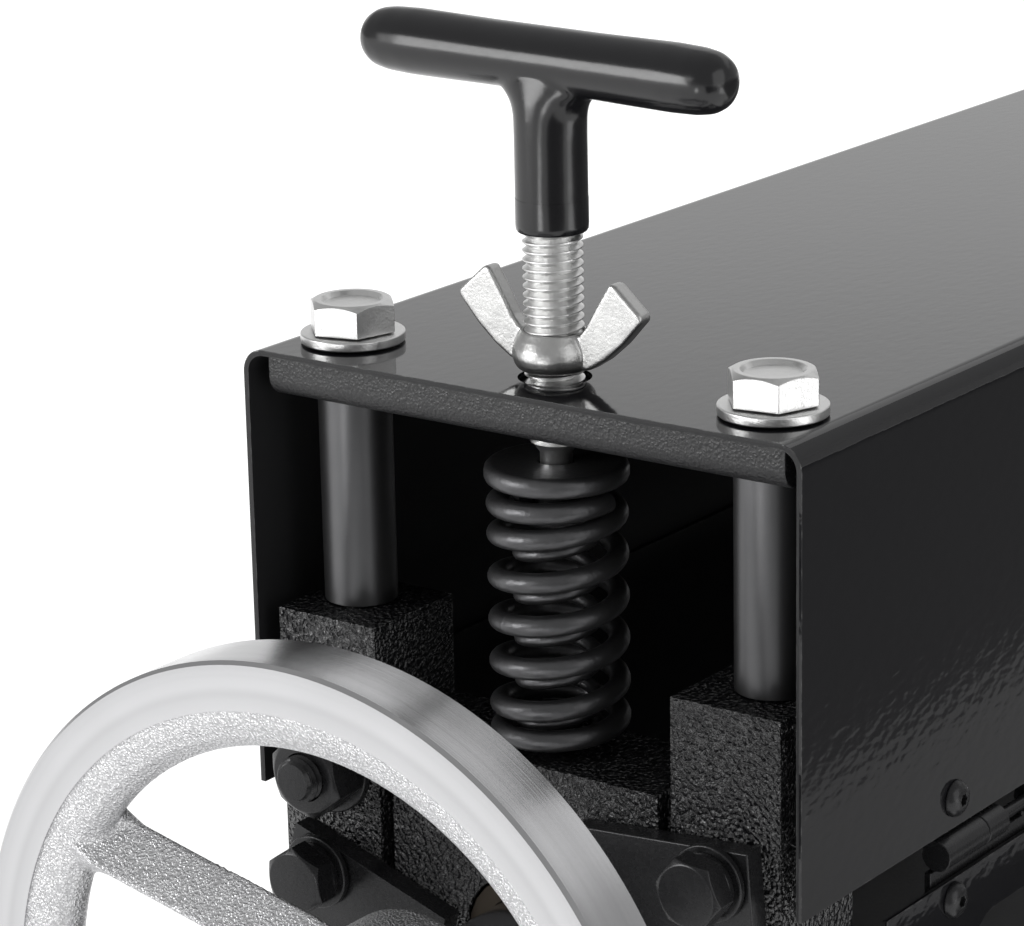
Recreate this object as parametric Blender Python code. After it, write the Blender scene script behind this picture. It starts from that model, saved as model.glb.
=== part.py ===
"""A covered table-top etching press: two slotted end frames carry a driven upper roller in spring-loaded
bearing blocks and a fixed lower roller, with a bed plate and a felt blanket running between them along X.

Metres, +Z up. The rollers lie along Y, the handwheel is at the -Y end and the guard hangs on the +X side.
Heights are built up from the surface that the press stands on.
"""

import math

import bmesh
import bpy
from mathutils import Matrix, Vector

# ---------------------------------------------------------------- driving dimensions
GAP = 0.0003  # left between pieces that touch
SPAN = 0.360  # between the bolt planes of the two end frames
WHEEL_REACH = 0.0836  # from the front bolt plane out to the face of the handwheel
END_REACH = 0.0140  # from a bolt plane out to the outer face of its end frame
END_DEPTH = 0.0120  # from a bolt plane in to the inner face of its end frame

FOOT_T = 0.008
BASE_T = 0.008
BASE_X = 0.090
FLANGE_X = 0.080
FLANGE_T = 0.012
FLANGE_BOLT_X = 0.070

ROLLER_R = 0.025
JOURNAL_R = 0.0100
BUSH_R = 0.0145
BUSH_FLANGE_R = 0.0185
BUSH_FLANGE_T = 0.0025
BUSH_SETBACK = 0.0010  # inside the outer face of its frame
JOURNAL_SETBACK = 0.0005
LOWER_AXIS_Z = 0.0500
BED_T = 0.008
BED_SIZE = (0.240, 0.250)
FELT_T = 0.003
FELT_SIZE = (0.212, 0.244)

WHEEL_R = 0.080
WHEEL_W = 0.0150
WHEEL_FACE_R = 0.0705
WHEEL_INNER_R = 0.0620
HUB_R = 0.0205
HUB_LENGTH = 0.0210
HUB_SETBACK = 0.0160
SPOKES = 3
SPOKE_HALF = 0.0070
SPOKE_DEPTHS = (0.0090, 0.0120)  # at the rim and at the hub
SPOKE_SETBACK = 0.0016  # of the spoke's face at the rim
SPOKE_ROOT = 0.0040  # how far a spoke runs into the rim and the hub
SPOKE_TURN = math.radians(150.0)

UPPER_AXIS_DROP = 0.1148  # every drop is measured down from the top of the cover
PILLAR_DROP = 0.0543
BLOCK_DROP = 0.0753
BLOCK_HEIGHT = 0.0670
COVER_DROP = 0.0930
BAR_DROP = 0.0100
CAP_DROP = 0.0168

FRAME_X = 0.0605
SLOT_X = 0.0357
BLOCK_X = 0.0353
BLOCK_LIP_X = 0.0325
BLOCK_LIP = 0.0040

BOLT_X = 0.0500
POST_R = 0.0075
BAR_X = 0.0612
BAR_Y = 0.0135
BAR_ROUND = 0.0050

COVER_X = 0.0660
COVER_OVERHANG = 0.0154
SHEET = 0.0012
BEND_R = 0.0050
COVER_HOLE_R = 0.0055
SCREW_HOLE_R = 0.00725

SCREW_R = 0.0059
SCREW_TIP_R = 0.0032
STEM_R = 0.0071
STEM_RISE = (0.0290, 0.0570)  # above the top of the cover
BAR_RISE = 0.0619
GRIP_R = 0.0065
GRIP_LENGTH = 0.0906
GRIP_SHIFT = -0.0015
GRIP_SWELL = ((0, 0), (0.55, 0.0010), (0.92, 0.0038), (1, 0.0090))  # share of the radius, distance from the end
STEM_COVER = 0.0060
GRIP_TURN = math.radians(-5.0)

CAP_R = 0.0143
CAP_T = 0.0041
SEAT_R = 0.0050  # the bosses inside the springs
SEAT_HEIGHT = 0.0060
TIP_DEPTH = 0.0030  # of the screw's tip in the cap
TIP_TAPER = (0.0018, 0.0048)  # above the cap
SPRINGS = {  # wire radius, coil radius, open turns between the two closed ones, and where the wire starts
    "spring": (0.00215, 0.01185, 4.6, math.radians(0.0)),
    "inner_spring": (0.00150, 0.00750, 5.06, math.radians(251.0)),
}
CLOSED_PITCH = 1.04  # of the wire's diameter

NUT_R = 0.0083
NUT_RISE = (0.0017, 0.0095)
NUT_CHAMFER = (0.0010, 0.0016)
WING_REACH = 0.0215
WING_TOP = 0.0205
WING_HALF = 0.0018

GUARD_DROPS = (0.1040, 0.1160)  # its upper edge, and the top of its notch
APRON_DROPS = (0.0790, 0.1287)
GUARD_LOW_DROP = 0.1720
GUARD_END = 0.0160  # from a bolt plane in to the end of the guard or the apron
NOTCH_END = 0.0500
NOTCH_R = 0.0080
HINGE_DROP = 0.0971
HINGE_X = 0.0656
KNUCKLE_R = 0.0033
PIN_R = 0.0013
HINGE_CLEAR = 0.0006  # between a leaf and the other leaf's knuckles
TAB = 0.0020
PIN_FIT = 0.0002
LEAF_DROPS = (0.0790, 0.1150)  # the upper edge of the cover leaf and the lower edge of the guard leaf
HINGE_START = 0.0350  # from a bolt plane in to the first knuckle
KNUCKLES = ((0.0, 0.016), (0.0163, 0.024), (0.037, 0.0447), (0.045, 0.061))
LEAF = 0.0015

KEEPER_SPAN = (0.0085, 0.0315)  # from the bolt to the outer end, and to the end over the bearing block
KEEPER_RISE = (0.0154, 0.0066)  # from the bolt down to the lower edge, and up to the upper edge
KEEPER_T = 0.0050
KEEPER_HOLE_R = 0.0043
KEEPER_HEAD = 0.0085  # washer and bolt head together
RIGHT_KEEPER = (0.0485, 0.0871, math.radians(4.5))  # bolt x, bolt drop, tilt
LEFT_KEEPER = (-0.0476, 0.1072, math.radians(-17.8))
STUD_X = -0.0474
STUD_DROP = 0.0855
STUD_REACH = 0.0130  # out from the frame's face
STUD_HOLE = 0.0140
STUD_WASHER_R = 0.0100
STUD_NUT = 0.0100  # washer and nut together
KEEPER_HOLE = 0.0120
PILLAR_HOLE = 0.0210  # how far a crosshead bolt runs down into its pillar
HOLE_END = 0.0020  # from the end of a bolt to the bottom of its hole

# Fasteners: radius of the shank and of its hole, across flats, head height, radius and thickness of the washer
M10 = (0.0049, 0.0053, 0.0160, 0.0064, 0.0106, 0.0020)
M8 = (0.0039, 0.0044, 0.0130, 0.0055, 0.0078, 0.0034)
SPOT_FACE_R = 0.0085
RUN_FIT = 0.0002  # between parts that turn or slide on each other
SCREW_FIT = 0.0004
PAST = 0.001  # how far a cutter runs past the face it cuts
FOOT_MARGIN = 0.0040
FOOT_Y = 0.0125
FILLET = 0.0040  # where a pillar meets its flange

# ---------------------------------------------------------------- worked out from them
REAR_REACH = END_REACH + GAP + KEEPER_T + GAP + KEEPER_HEAD
FRONT_Y = WHEEL_REACH - (WHEEL_REACH + SPAN + REAR_REACH) / 2
REAR_Y = FRONT_Y + SPAN
MIDDLE_Y = (FRONT_Y + REAR_Y) / 2
BASE_TOP = FOOT_T + GAP + BASE_T
FRAME_LOW = BASE_TOP + GAP
BED_LOW = LOWER_AXIS_Z + ROLLER_R + GAP
BED_TOP = BED_LOW + BED_T
FELT_TOP = BED_TOP + GAP + FELT_T
UPPER_AXIS_Z = FELT_TOP + GAP + ROLLER_R
TOP_Z = UPPER_AXIS_Z + UPPER_AXIS_DROP  # top of the cover
PILLAR_Z = TOP_Z - PILLAR_DROP
BLOCK_TOP = TOP_Z - BLOCK_DROP
BLOCK_LOW = BLOCK_TOP - BLOCK_HEIGHT
SLOT_Z = BLOCK_LOW - GAP
BAR_LOW = TOP_Z - BAR_DROP
BAR_TOP = TOP_Z - SHEET - GAP
CAP_TOP = TOP_Z - CAP_DROP
SPRING_TOP = CAP_TOP - CAP_T - GAP
SPRING_LOW = BLOCK_TOP + GAP
HINGE_Z = TOP_Z - HINGE_DROP
BARREL_Y = END_DEPTH + GAP + BUSH_FLANGE_T + GAP  # from a bolt plane in to the shoulder of a roller

ENDS = {"front": -1, "rear": 1}
TURNED = Matrix.Rotation(math.radians(90), 4, "X")  # lays a shape that stands along Z down along Y

MATERIALS = {
    "cast_paint": ((0.012, 0.012, 0.013), 0.45, 0.0),
    "sheet_paint": ((0.010, 0.010, 0.011), 0.18, 0.0),
    "vinyl": ((0.010, 0.010, 0.011), 0.15, 0.0),
    "zinc": ((0.72, 0.72, 0.70), 0.28, 1.0),
    "black_steel": ((0.030, 0.030, 0.032), 0.35, 0.8),
    "ground_steel": ((0.62, 0.62, 0.63), 0.20, 1.0),
    "wheel_iron": ((0.62, 0.62, 0.63), 0.35, 1.0),
    "bronze": ((0.60, 0.40, 0.20), 0.35, 1.0),
    "felt": ((0.06, 0.06, 0.062), 0.95, 0.0),
    "rubber": ((0.020, 0.020, 0.020), 0.80, 0.0),
}


def clear_scene():
    for obj in list(bpy.data.objects):
        bpy.data.objects.remove(obj, do_unlink=True)


def make_material(name):
    colour, roughness, metallic = MATERIALS[name]
    material = bpy.data.materials.new(name)
    material.use_nodes = True
    shader = material.node_tree.nodes["Principled BSDF"]
    shader.inputs["Base Color"].default_value = (*colour, 1.0)
    shader.inputs["Roughness"].default_value = roughness
    shader.inputs["Metallic"].default_value = metallic
    return material


def place(name, mesh, location, material):
    """One node of the press."""
    if not mesh.materials:
        mesh.materials.append(bpy.data.materials.get(material) or make_material(material))
    obj = bpy.data.objects.new(name, mesh)
    obj.location = location
    bpy.context.scene.collection.objects.link(obj)
    return obj


def closed(bm, matrix=None):
    """The finished mesh of a bmesh, with its faces turned outwards."""
    if matrix is not None:
        bmesh.ops.transform(bm, matrix=matrix, verts=bm.verts)
    bmesh.ops.remove_doubles(bm, verts=bm.verts, dist=1e-6)
    bmesh.ops.recalc_face_normals(bm, faces=bm.faces)
    mesh = bpy.data.meshes.new("shape")
    bm.to_mesh(mesh)
    bm.free()
    mesh.shade_smooth()
    mesh.set_sharp_from_angle(angle=math.radians(35))
    return mesh


def prism(outline, low, high, along="Z"):
    """A flat outline pushed out along one axis. Its points are (x, y), (x, z) or (y, z), in axis order."""
    axis = "XYZ".index(along)
    push = Vector((0, 0, 0))
    push[axis] = high - low
    bm = bmesh.new()
    corners = []
    for point in outline:
        spot = list(point)
        spot.insert(axis, low)
        corners.append(bm.verts.new(spot))
    pushed = bmesh.ops.extrude_face_region(bm, geom=[bm.faces.new(corners)], use_keep_orig=True)
    far_corners = [item for item in pushed["geom"] if isinstance(item, bmesh.types.BMVert)]
    bmesh.ops.translate(bm, vec=push, verts=far_corners)
    return closed(bm)


def box(x, y, z):
    return prism([(x[0], y[0]), (x[1], y[0]), (x[1], y[1]), (x[0], y[1])], z[0], z[1])


def turned(profile, steps=24, matrix=None):
    """A profile of (radius, height) points turned about Z. A profile that starts off the axis is a ring."""
    bm = bmesh.new()
    verts = [bm.verts.new((radius, 0, height)) for radius, height in profile]
    edges = [bm.edges.new(pair) for pair in zip(verts, verts[1:])]
    if profile[0][0] > 0:
        edges.append(bm.edges.new((verts[-1], verts[0])))
    around_z = {"axis": (0, 0, 1), "cent": (0, 0, 0), "angle": math.tau, "use_merge": True}
    bmesh.ops.spin(bm, geom=verts + edges, steps=steps, **around_z)
    return closed(bm, matrix)


def rod(radius, low, high, steps=16, matrix=None):
    return turned([(0, low), (radius, low), (radius, high), (0, high)], steps, matrix)


def tube(inner, outer, low, high, steps=20, matrix=None):
    return turned([(inner, low), (outer, low), (outer, high), (inner, high)], steps, matrix)


def hexagon(across_flats, low, high, matrix=None):
    corner = across_flats / math.sqrt(3)
    return rod(corner, low, high, 6, matrix)


def joined(mesh, others, operation):
    """The mesh with the others added to it or cut from it. The helpers are removed."""
    scene = bpy.context.scene.collection.objects
    base = bpy.data.objects.new("base", mesh)
    scene.link(base)
    helpers = []
    for other in others:
        helper = bpy.data.objects.new("helper", other)
        helper.hide_render = True
        helper.display_type = "WIRE"
        scene.link(helper)
        step = base.modifiers.new(operation.lower(), "BOOLEAN")
        step.operation = operation
        step.solver = "EXACT"
        step.object = helper
        helpers.append(helper)
    bpy.context.view_layer.update()
    made = bpy.data.meshes.new_from_object(base.evaluated_get(bpy.context.evaluated_depsgraph_get()))
    for obj in [base, *helpers]:
        bpy.data.objects.remove(obj, do_unlink=True)
    made.materials.clear()
    made.shade_smooth()
    made.set_sharp_from_angle(angle=math.radians(35))
    return made


def cut(mesh, cutters):
    return joined(mesh, cutters, "DIFFERENCE")


def fused(mesh, others):
    return joined(mesh, others, "UNION")


def moved(mesh, x=0.0, y=0.0, z=0.0):
    mesh.transform(Matrix.Translation((x, y, z)))
    return mesh


def lying(radius, start, stop, x=0.0, z=0.0, steps=16):
    """A rod along Y from start to stop."""
    low, high = sorted((start, stop))
    return moved(rod(radius, -high, -low, steps, TURNED), x=x, z=z)


def plane_of(side):
    return FRONT_Y if side < 0 else REAR_Y


def out(side, distance):
    """The Y of a place that lies this far outside one end's bolt plane. Inside it, the distance is negative."""
    return plane_of(side) + side * distance


def arc(centre, radius, start, stop, steps):
    """Points of an arc in degrees, both ends included."""
    turns = [math.radians(start + (stop - start) * step / steps) for step in range(steps + 1)]
    return [(centre[0] + radius * math.cos(turn), centre[1] + radius * math.sin(turn)) for turn in turns]


# ---------------------------------------------------------------- base and end frames
def build_base():
    holes = [
        moved(rod(M8[1], FOOT_T, BASE_TOP + PAST), x=x, y=plane_of(side))
        for side in ENDS.values()
        for x in (-FLANGE_BOLT_X, FLANGE_BOLT_X)
    ]
    plate = box((-BASE_X, BASE_X), (out(-1, END_REACH), out(1, END_REACH)), (FOOT_T + GAP, BASE_TOP))
    place("base_plate", cut(plate, holes), (0, 0, 0), "cast_paint")
    for end, side in ENDS.items():
        foot_x = BASE_X - FOOT_MARGIN
        strip = box((-foot_x, foot_x), (-FOOT_Y, FOOT_Y), (0, FOOT_T))
        place(f"{end}_foot_strip", strip, (0, plane_of(side), 0), "rubber")


def build_end_frame(end, side):
    """A slotted casting on a flange: two pillars, spot faces for its base bolts, and tapped holes."""
    flange_top = FRAME_LOW + FLANGE_T
    half = [
        (FLANGE_X, FRAME_LOW), (FLANGE_X, flange_top), (FRAME_X, flange_top + FILLET),
        (FRAME_X, PILLAR_Z), (SLOT_X, PILLAR_Z), (SLOT_X, SLOT_Z),
    ]
    outline = half + [(-x, z) for x, z in reversed(half)]
    low, high = sorted((out(side, END_REACH), out(side, -END_DEPTH)))
    face = out(side, END_REACH + PAST)
    cutters = [lying(BUSH_R + GAP, low - PAST, high + PAST, z=LOWER_AXIS_Z, steps=24)]
    for x in (-BOLT_X, BOLT_X):
        hole = rod(M10[1], PILLAR_Z - PILLAR_HOLE - HOLE_END, PILLAR_Z + PAST)
        cutters.append(moved(hole, x=x, y=plane_of(side)))
    for x in (-FLANGE_BOLT_X, FLANGE_BOLT_X):
        hole = rod(M8[1], FRAME_LOW - PAST, flange_top + 2 * FILLET)
        spot_face = rod(SPOT_FACE_R, flange_top, flange_top + 3 * FILLET)
        cutters += [moved(cutter, x=x, y=plane_of(side)) for cutter in (hole, spot_face)]
    for x, drop, _ in (RIGHT_KEEPER, LEFT_KEEPER):
        cutters.append(lying(KEEPER_HOLE_R, face, out(side, END_REACH - KEEPER_HOLE), x=x, z=TOP_Z - drop))
    if end == "front":
        bottom = out(side, END_REACH - STUD_HOLE)
        cutters.append(lying(M10[1], face, bottom, x=STUD_X, z=TOP_Z - STUD_DROP))
    place(f"{end}_end_frame", cut(prism(outline, low, high, "Y"), cutters), (0, 0, 0), "cast_paint")


def build_block(end, side):
    """The bearing block slides up in the frame's slot, and holds the bush of the upper roller."""
    outer, lip, inner = END_REACH - RUN_FIT, END_REACH - BLOCK_LIP, -END_DEPTH + RUN_FIT
    half = [(BLOCK_LIP_X, outer), (BLOCK_LIP_X, lip), (BLOCK_X, lip), (BLOCK_X, inner)]
    plan = half + [(-x, y) for x, y in reversed(half)]
    body = prism([(x, side * y) for x, y in plan], BLOCK_LOW, BLOCK_TOP)
    body = fused(body, [hexagon(2 * SEAT_R, BLOCK_TOP - HOLE_END, BLOCK_TOP + SEAT_HEIGHT)])
    through = END_REACH + 2 * PAST
    body = cut(body, [lying(BUSH_R + GAP, -through, through, z=UPPER_AXIS_Z, steps=24)])
    place(f"{end}_bearing_block", body, (0, plane_of(side), 0), "cast_paint")


def build_bush(name, side, height):
    """A flanged bush: the flange takes the roller's side thrust."""
    flange, bore, outer = END_DEPTH + GAP, JOURNAL_R + RUN_FIT, BUSH_SETBACK - END_REACH
    profile = [
        (bore, outer), (BUSH_R, outer), (BUSH_R, flange),
        (BUSH_FLANGE_R, flange), (BUSH_FLANGE_R, flange + BUSH_FLANGE_T), (bore, flange + BUSH_FLANGE_T),
    ]
    lay = Matrix.Rotation(math.radians(90 * side), 4, "X")
    place(name, turned(profile, matrix=lay), (0, plane_of(side), height), "bronze")


# ---------------------------------------------------------------- rollers, bed and handwheel
def build_roller(name, height, front_end, rear_end):
    """A ground barrel between two journals, with its origin on its axis."""
    barrel_low, barrel_high = FRONT_Y + BARREL_Y, REAR_Y - BARREL_Y
    profile = [
        (0, -rear_end), (JOURNAL_R, -rear_end), (JOURNAL_R, -barrel_high), (ROLLER_R, -barrel_high),
        (ROLLER_R, -barrel_low), (JOURNAL_R, -barrel_low), (JOURNAL_R, -front_end), (0, -front_end),
    ]
    place(name, turned(profile, 32, TURNED), (0, 0, height), "ground_steel")


def build_bed():
    x, y = BED_SIZE[0] / 2, BED_SIZE[1] / 2
    place("bed_plate", box((-x, x), (-y, y), (BED_LOW, BED_TOP)), (0, MIDDLE_Y, 0), "ground_steel")
    x, y = FELT_SIZE[0] / 2, FELT_SIZE[1] / 2
    place("felt_blanket", box((-x, x), (-y, y), (BED_TOP + GAP, FELT_TOP)), (0, MIDDLE_Y, 0), "felt")


def build_handwheel():
    """A rim with a flat face and a rounded inside, a set-back hub and three spokes. It is laid down last."""
    half_width, depth = WHEEL_W / 2, WHEEL_FACE_R - WHEEL_INNER_R
    inside = [(WHEEL_FACE_R + depth * x, half_width * (1 + z)) for x, z in arc((0, 0), 1, 90, 270, 4)]
    rim = turned([(WHEEL_R, 0), (WHEEL_R, WHEEL_W), *inside], 48)
    hub = rod(HUB_R, HUB_SETBACK, HUB_SETBACK + HUB_LENGTH, 24)
    near, far = HUB_SETBACK + PAST, SPOKE_SETBACK
    start, stop = HUB_R - SPOKE_ROOT, WHEEL_INNER_R + SPOKE_ROOT
    side_view = [(start, near), (stop, far), (stop, far + SPOKE_DEPTHS[0]), (start, near + SPOKE_DEPTHS[1])]
    spokes = []
    for number in range(SPOKES):
        spoke = prism(side_view, -SPOKE_HALF, SPOKE_HALF, "Y")
        spoke.transform(Matrix.Rotation(number * math.tau / SPOKES, 4, "Z"))
        spokes.append(spoke)
    wheel = fused(rim, [hub, *spokes])
    wheel = cut(wheel, [rod(JOURNAL_R + GAP, HUB_SETBACK - PAST, HUB_SETBACK + HUB_LENGTH + PAST, 24)])
    wheel.transform(Matrix.Rotation(SPOKE_TURN, 4, "Z"))
    swap_y_and_z = Matrix(((1, 0, 0, 0), (0, 0, 1, 0), (0, 1, 0, 0), (0, 0, 0, 1)))
    wheel.transform(swap_y_and_z)
    wheel.flip_normals()
    place("handwheel", wheel, (0, out(-1, WHEEL_REACH), UPPER_AXIS_Z), "wheel_iron")


# ---------------------------------------------------------------- crosshead, pressure screw and spring
def build_crosshead(end, side):
    """The bar that the pressure screw threads through, on two posts that stand on the frame's pillars."""
    section = [(-BAR_Y, BAR_TOP), *arc((-BAR_Y + BAR_ROUND, BAR_LOW + BAR_ROUND), BAR_ROUND, 180, 270, 3)]
    section += [*arc((BAR_Y - BAR_ROUND, BAR_LOW + BAR_ROUND), BAR_ROUND, 270, 360, 3), (BAR_Y, BAR_TOP)]
    shank_r, hole_r, flats, head, washer_r, washer_t = M10
    holes = [moved(rod(hole_r, BAR_LOW - PAST, BAR_TOP + PAST), x=x) for x in (-BOLT_X, BOLT_X)]
    holes.append(rod(SCREW_R + SCREW_FIT, BAR_LOW - PAST, BAR_TOP + PAST, 24))
    bar = cut(prism(section, -BAR_X, BAR_X, "X"), holes)
    place(f"{end}_crosshead", bar, (0, plane_of(side), 0), "cast_paint")
    washer_low = TOP_Z + GAP
    head_low = washer_low + washer_t + GAP
    shank = rod(shank_r, PILLAR_Z - PILLAR_HOLE, head_low + 2 * PAST)
    bolt = fused(hexagon(flats, head_low, head_low + head), [shank])
    post = tube(hole_r, POST_R, PILLAR_Z + GAP, BAR_LOW - GAP)
    washer = tube(hole_r, washer_r, washer_low, washer_low + washer_t)
    for number, x in enumerate((-BOLT_X, BOLT_X), 1):
        spot = (x, plane_of(side), 0)
        place(f"{end}_post_{number}", post, spot, "black_steel")
        place(f"{end}_washer_{number}", washer, spot, "zinc")
        place(f"{end}_crosshead_bolt_{number}", bolt, spot, "zinc")


def build_pressure_screw(end, side):
    """The screw with its dipped T-handle, and the cap that the screw's tip turns in."""
    spot = (0, plane_of(side), 0)
    stem_low, top, tip = TOP_Z + STEM_RISE[0], TOP_Z + STEM_RISE[1] - STEM_COVER, CAP_TOP - TIP_DEPTH
    profile = [
        (0, tip), (SCREW_TIP_R, tip), (SCREW_TIP_R, CAP_TOP + TIP_TAPER[0]),
        (SCREW_R, CAP_TOP + TIP_TAPER[1]), (SCREW_R, top), (0, top),
    ]
    place(f"{end}_pressure_screw", turned(profile), spot, "zinc")

    half = GRIP_LENGTH / 2
    bulge = [(radius * GRIP_R, inset - half) for radius, inset in GRIP_SWELL]
    along_x = Matrix.Rotation(math.radians(90), 4, "Y")
    grip = turned([*bulge, *[(radius, -height) for radius, height in reversed(bulge)]], 14, along_x)
    grip = fused(moved(grip, x=GRIP_SHIFT, z=TOP_Z + BAR_RISE), [rod(STEM_R, stem_low, TOP_Z + BAR_RISE)])
    grip = cut(grip, [rod(SCREW_R + GAP, stem_low - PAST, top + GAP)])
    grip.transform(Matrix.Rotation(GRIP_TURN, 4, "Z"))
    place(f"{end}_t_grip", grip, spot, "vinyl")

    socket, cap_low = SCREW_TIP_R + GAP, CAP_TOP - CAP_T
    cap = [
        (0, tip - GAP), (socket, tip - GAP), (socket, CAP_TOP), (CAP_R, CAP_TOP),
        (CAP_R, cap_low), (SEAT_R, cap_low), (SEAT_R, cap_low - SEAT_HEIGHT), (0, cap_low - SEAT_HEIGHT),
    ]
    place(f"{end}_spring_cap", turned(cap), spot, "black_steel")


def spring_height(turn, wire, open_turns):
    """The height of the wire's middle after so many turns down from the top. One turn at each end is closed."""
    top, low = SPRING_TOP - wire, SPRING_LOW + wire
    closed_pitch = CLOSED_PITCH * 2 * wire
    opened = min(max(turn - 1, 0), open_turns)
    open_pitch = (top - low - 2 * closed_pitch) / open_turns
    return top - (turn - opened) * closed_pitch - opened * open_pitch


def build_spring(end, side, name):
    """The wire swept down its coil: a ring of points carried round the helix and bridged to the next."""
    wire, coil, open_turns, start = SPRINGS[name]
    turns, per_turn, sides = open_turns + 2, 12, 5
    steps = round(turns * per_turn)
    bm = bmesh.new()
    rings = []
    for step in range(steps + 1):
        turn = turns * step / steps
        swing = Matrix.Rotation(start - math.tau * turn, 4, "Z")
        drop = Vector((0, 0, spring_height(turn, wire, open_turns)))
        corners = [math.tau * number / sides for number in range(sides)]
        spots = [Vector((coil + wire * math.cos(angle), 0, wire * math.sin(angle))) for angle in corners]
        rings.append([bm.verts.new(swing @ spot + drop) for spot in spots])
    for ring, following in zip(rings, rings[1:]):
        for number in range(sides):
            after = (number + 1) % sides
            bm.faces.new((ring[number], ring[after], following[after], following[number]))
    bm.faces.new(rings[0])
    bm.faces.new(rings[-1])
    place(f"{end}_{name}", closed(bm), (0, plane_of(side), 0), "black_steel")


def build_wing_nut(end, side):
    low, high = TOP_Z + NUT_RISE[0], TOP_Z + NUT_RISE[1]
    foot, shoulder = NUT_CHAMFER
    profile = [(0, low), (NUT_R - foot, low), (NUT_R, low + 2 * foot), (NUT_R - shoulder, high), (0, high)]
    body = turned(profile, 16)
    root, inner_edge, heel, tip_width = 0.0052, 0.0068, 0.0100, 0.0075
    top = TOP_Z + WING_TOP
    wing = [
        (root, low + 0.0020), (heel, low + 0.0012), (WING_REACH, low + 0.0115),
        (WING_REACH - 0.0010, top), (WING_REACH - tip_width, top), (inner_edge, high), (root, high - 0.0010),
    ]
    right = prism(wing, -WING_HALF, WING_HALF, "Y")
    left = right.copy()
    left.transform(Matrix.Rotation(math.pi, 4, "Z"))
    nut = cut(fused(body, [right, left]), [rod(SCREW_R + SCREW_FIT, low - PAST, high + PAST)])
    place(f"{end}_wing_nut", nut, (0, plane_of(side), 0), "zinc")


# ---------------------------------------------------------------- cover and guard
def build_cover():
    """One folded sheet: a top between two walls, with holes for the bolts and the pressure screws."""
    low, inner_x, inner_z = TOP_Z - COVER_DROP, COVER_X - SHEET, TOP_Z - SHEET
    bend = BEND_R - SHEET
    corner = (COVER_X - BEND_R, TOP_Z - BEND_R)
    outside = [(COVER_X, low), *arc(corner, BEND_R, 0, 90, 5)]
    inside = [*arc(corner, bend, 90, 0, 5), (inner_x, low)]
    outline = outside + [(-x, z) for x, z in reversed(outside)]
    outline += [(-x, z) for x, z in reversed(inside)] + inside
    sheet = prism(outline, out(-1, COVER_OVERHANG), out(1, COVER_OVERHANG), "Y")
    holes = []
    for side in ENDS.values():
        for x, radius in ((-BOLT_X, COVER_HOLE_R), (BOLT_X, COVER_HOLE_R), (0, SCREW_HOLE_R)):
            holes.append(moved(rod(radius, inner_z - PAST, TOP_Z + PAST), x=x, y=plane_of(side)))
    place("cover", cut(sheet, holes), (0, 0, 0), "sheet_paint")


def notched_sheet(drops, inner_x, outer_x):
    """An upright sheet along Y, cut away at the bottom for the bed and its work."""
    top, notch = (TOP_Z - drop for drop in drops)
    low, end, start = TOP_Z - GUARD_LOW_DROP, SPAN / 2 - GUARD_END, SPAN / 2 - NOTCH_END
    half = [(end, top), (end, low), (start, low), *arc((start - NOTCH_R, notch - NOTCH_R), NOTCH_R, 0, 90, 4)]
    outline = half + [(-y, z) for y, z in reversed(half)]
    return prism(outline, *sorted((inner_x, outer_x)), "X")


def build_guards():
    """The guard hangs on hinges below the cover's edge. The apron is fixed inside the cover's other wall."""
    guard = notched_sheet(GUARD_DROPS, COVER_X - SHEET, COVER_X)
    place("guard", guard, (0, MIDDLE_Y, 0), "sheet_paint")
    apron_x = COVER_X - SHEET - GAP
    apron = notched_sheet(APRON_DROPS, SHEET - apron_x, -apron_x)
    place("feed_apron", apron, (0, MIDDLE_Y, 0), "sheet_paint")


def knuckle(start, stop):
    return lying(KNUCKLE_R, start, stop, x=HINGE_X, z=HINGE_Z)


def build_hinge(end, side):
    """Two leaves behind the sheets. The pin is riveted into the cover leaf's knuckles."""
    spans = [sorted((out(side, -HINGE_START - a), out(side, -HINGE_START - b))) for a, b in KNUCKLES]
    low, high = min(span[0] for span in spans), max(span[1] for span in spans)
    plate = (COVER_X - SHEET - GAP - LEAF, COVER_X - SHEET - GAP)
    clear = KNUCKLE_R + HINGE_CLEAR
    upper = box(plate, (low, high), (HINGE_Z + clear, TOP_Z - LEAF_DROPS[0]))
    tabs = [box(plate, spans[n], (HINGE_Z, HINGE_Z + KNUCKLE_R + TAB)) for n in (0, 3)]
    pin = lying(PIN_R, low, high, x=HINGE_X, z=HINGE_Z, steps=12)
    cover_leaf = fused(upper, [*tabs, knuckle(*spans[0]), knuckle(*spans[3]), pin])
    place(f"{end}_hinge_cover_leaf", cover_leaf, (0, 0, 0), "black_steel")
    lower = box(plate, (low, high), (TOP_Z - LEAF_DROPS[1], HINGE_Z - clear))
    tabs = [box(plate, spans[n], (HINGE_Z - KNUCKLE_R - TAB, HINGE_Z)) for n in (1, 2)]
    bore = lying(PIN_R + PIN_FIT, low - PAST, high + PAST, x=HINGE_X, z=HINGE_Z, steps=12)
    guard_leaf = cut(fused(lower, [*tabs, knuckle(*spans[1]), knuckle(*spans[2])]), [bore])
    guard_leaf.transform(Matrix.Translation((-HINGE_X, 0, -HINGE_Z)))
    place(f"{end}_hinge_guard_leaf", guard_leaf, (HINGE_X, 0, HINGE_Z), "black_steel")


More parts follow.
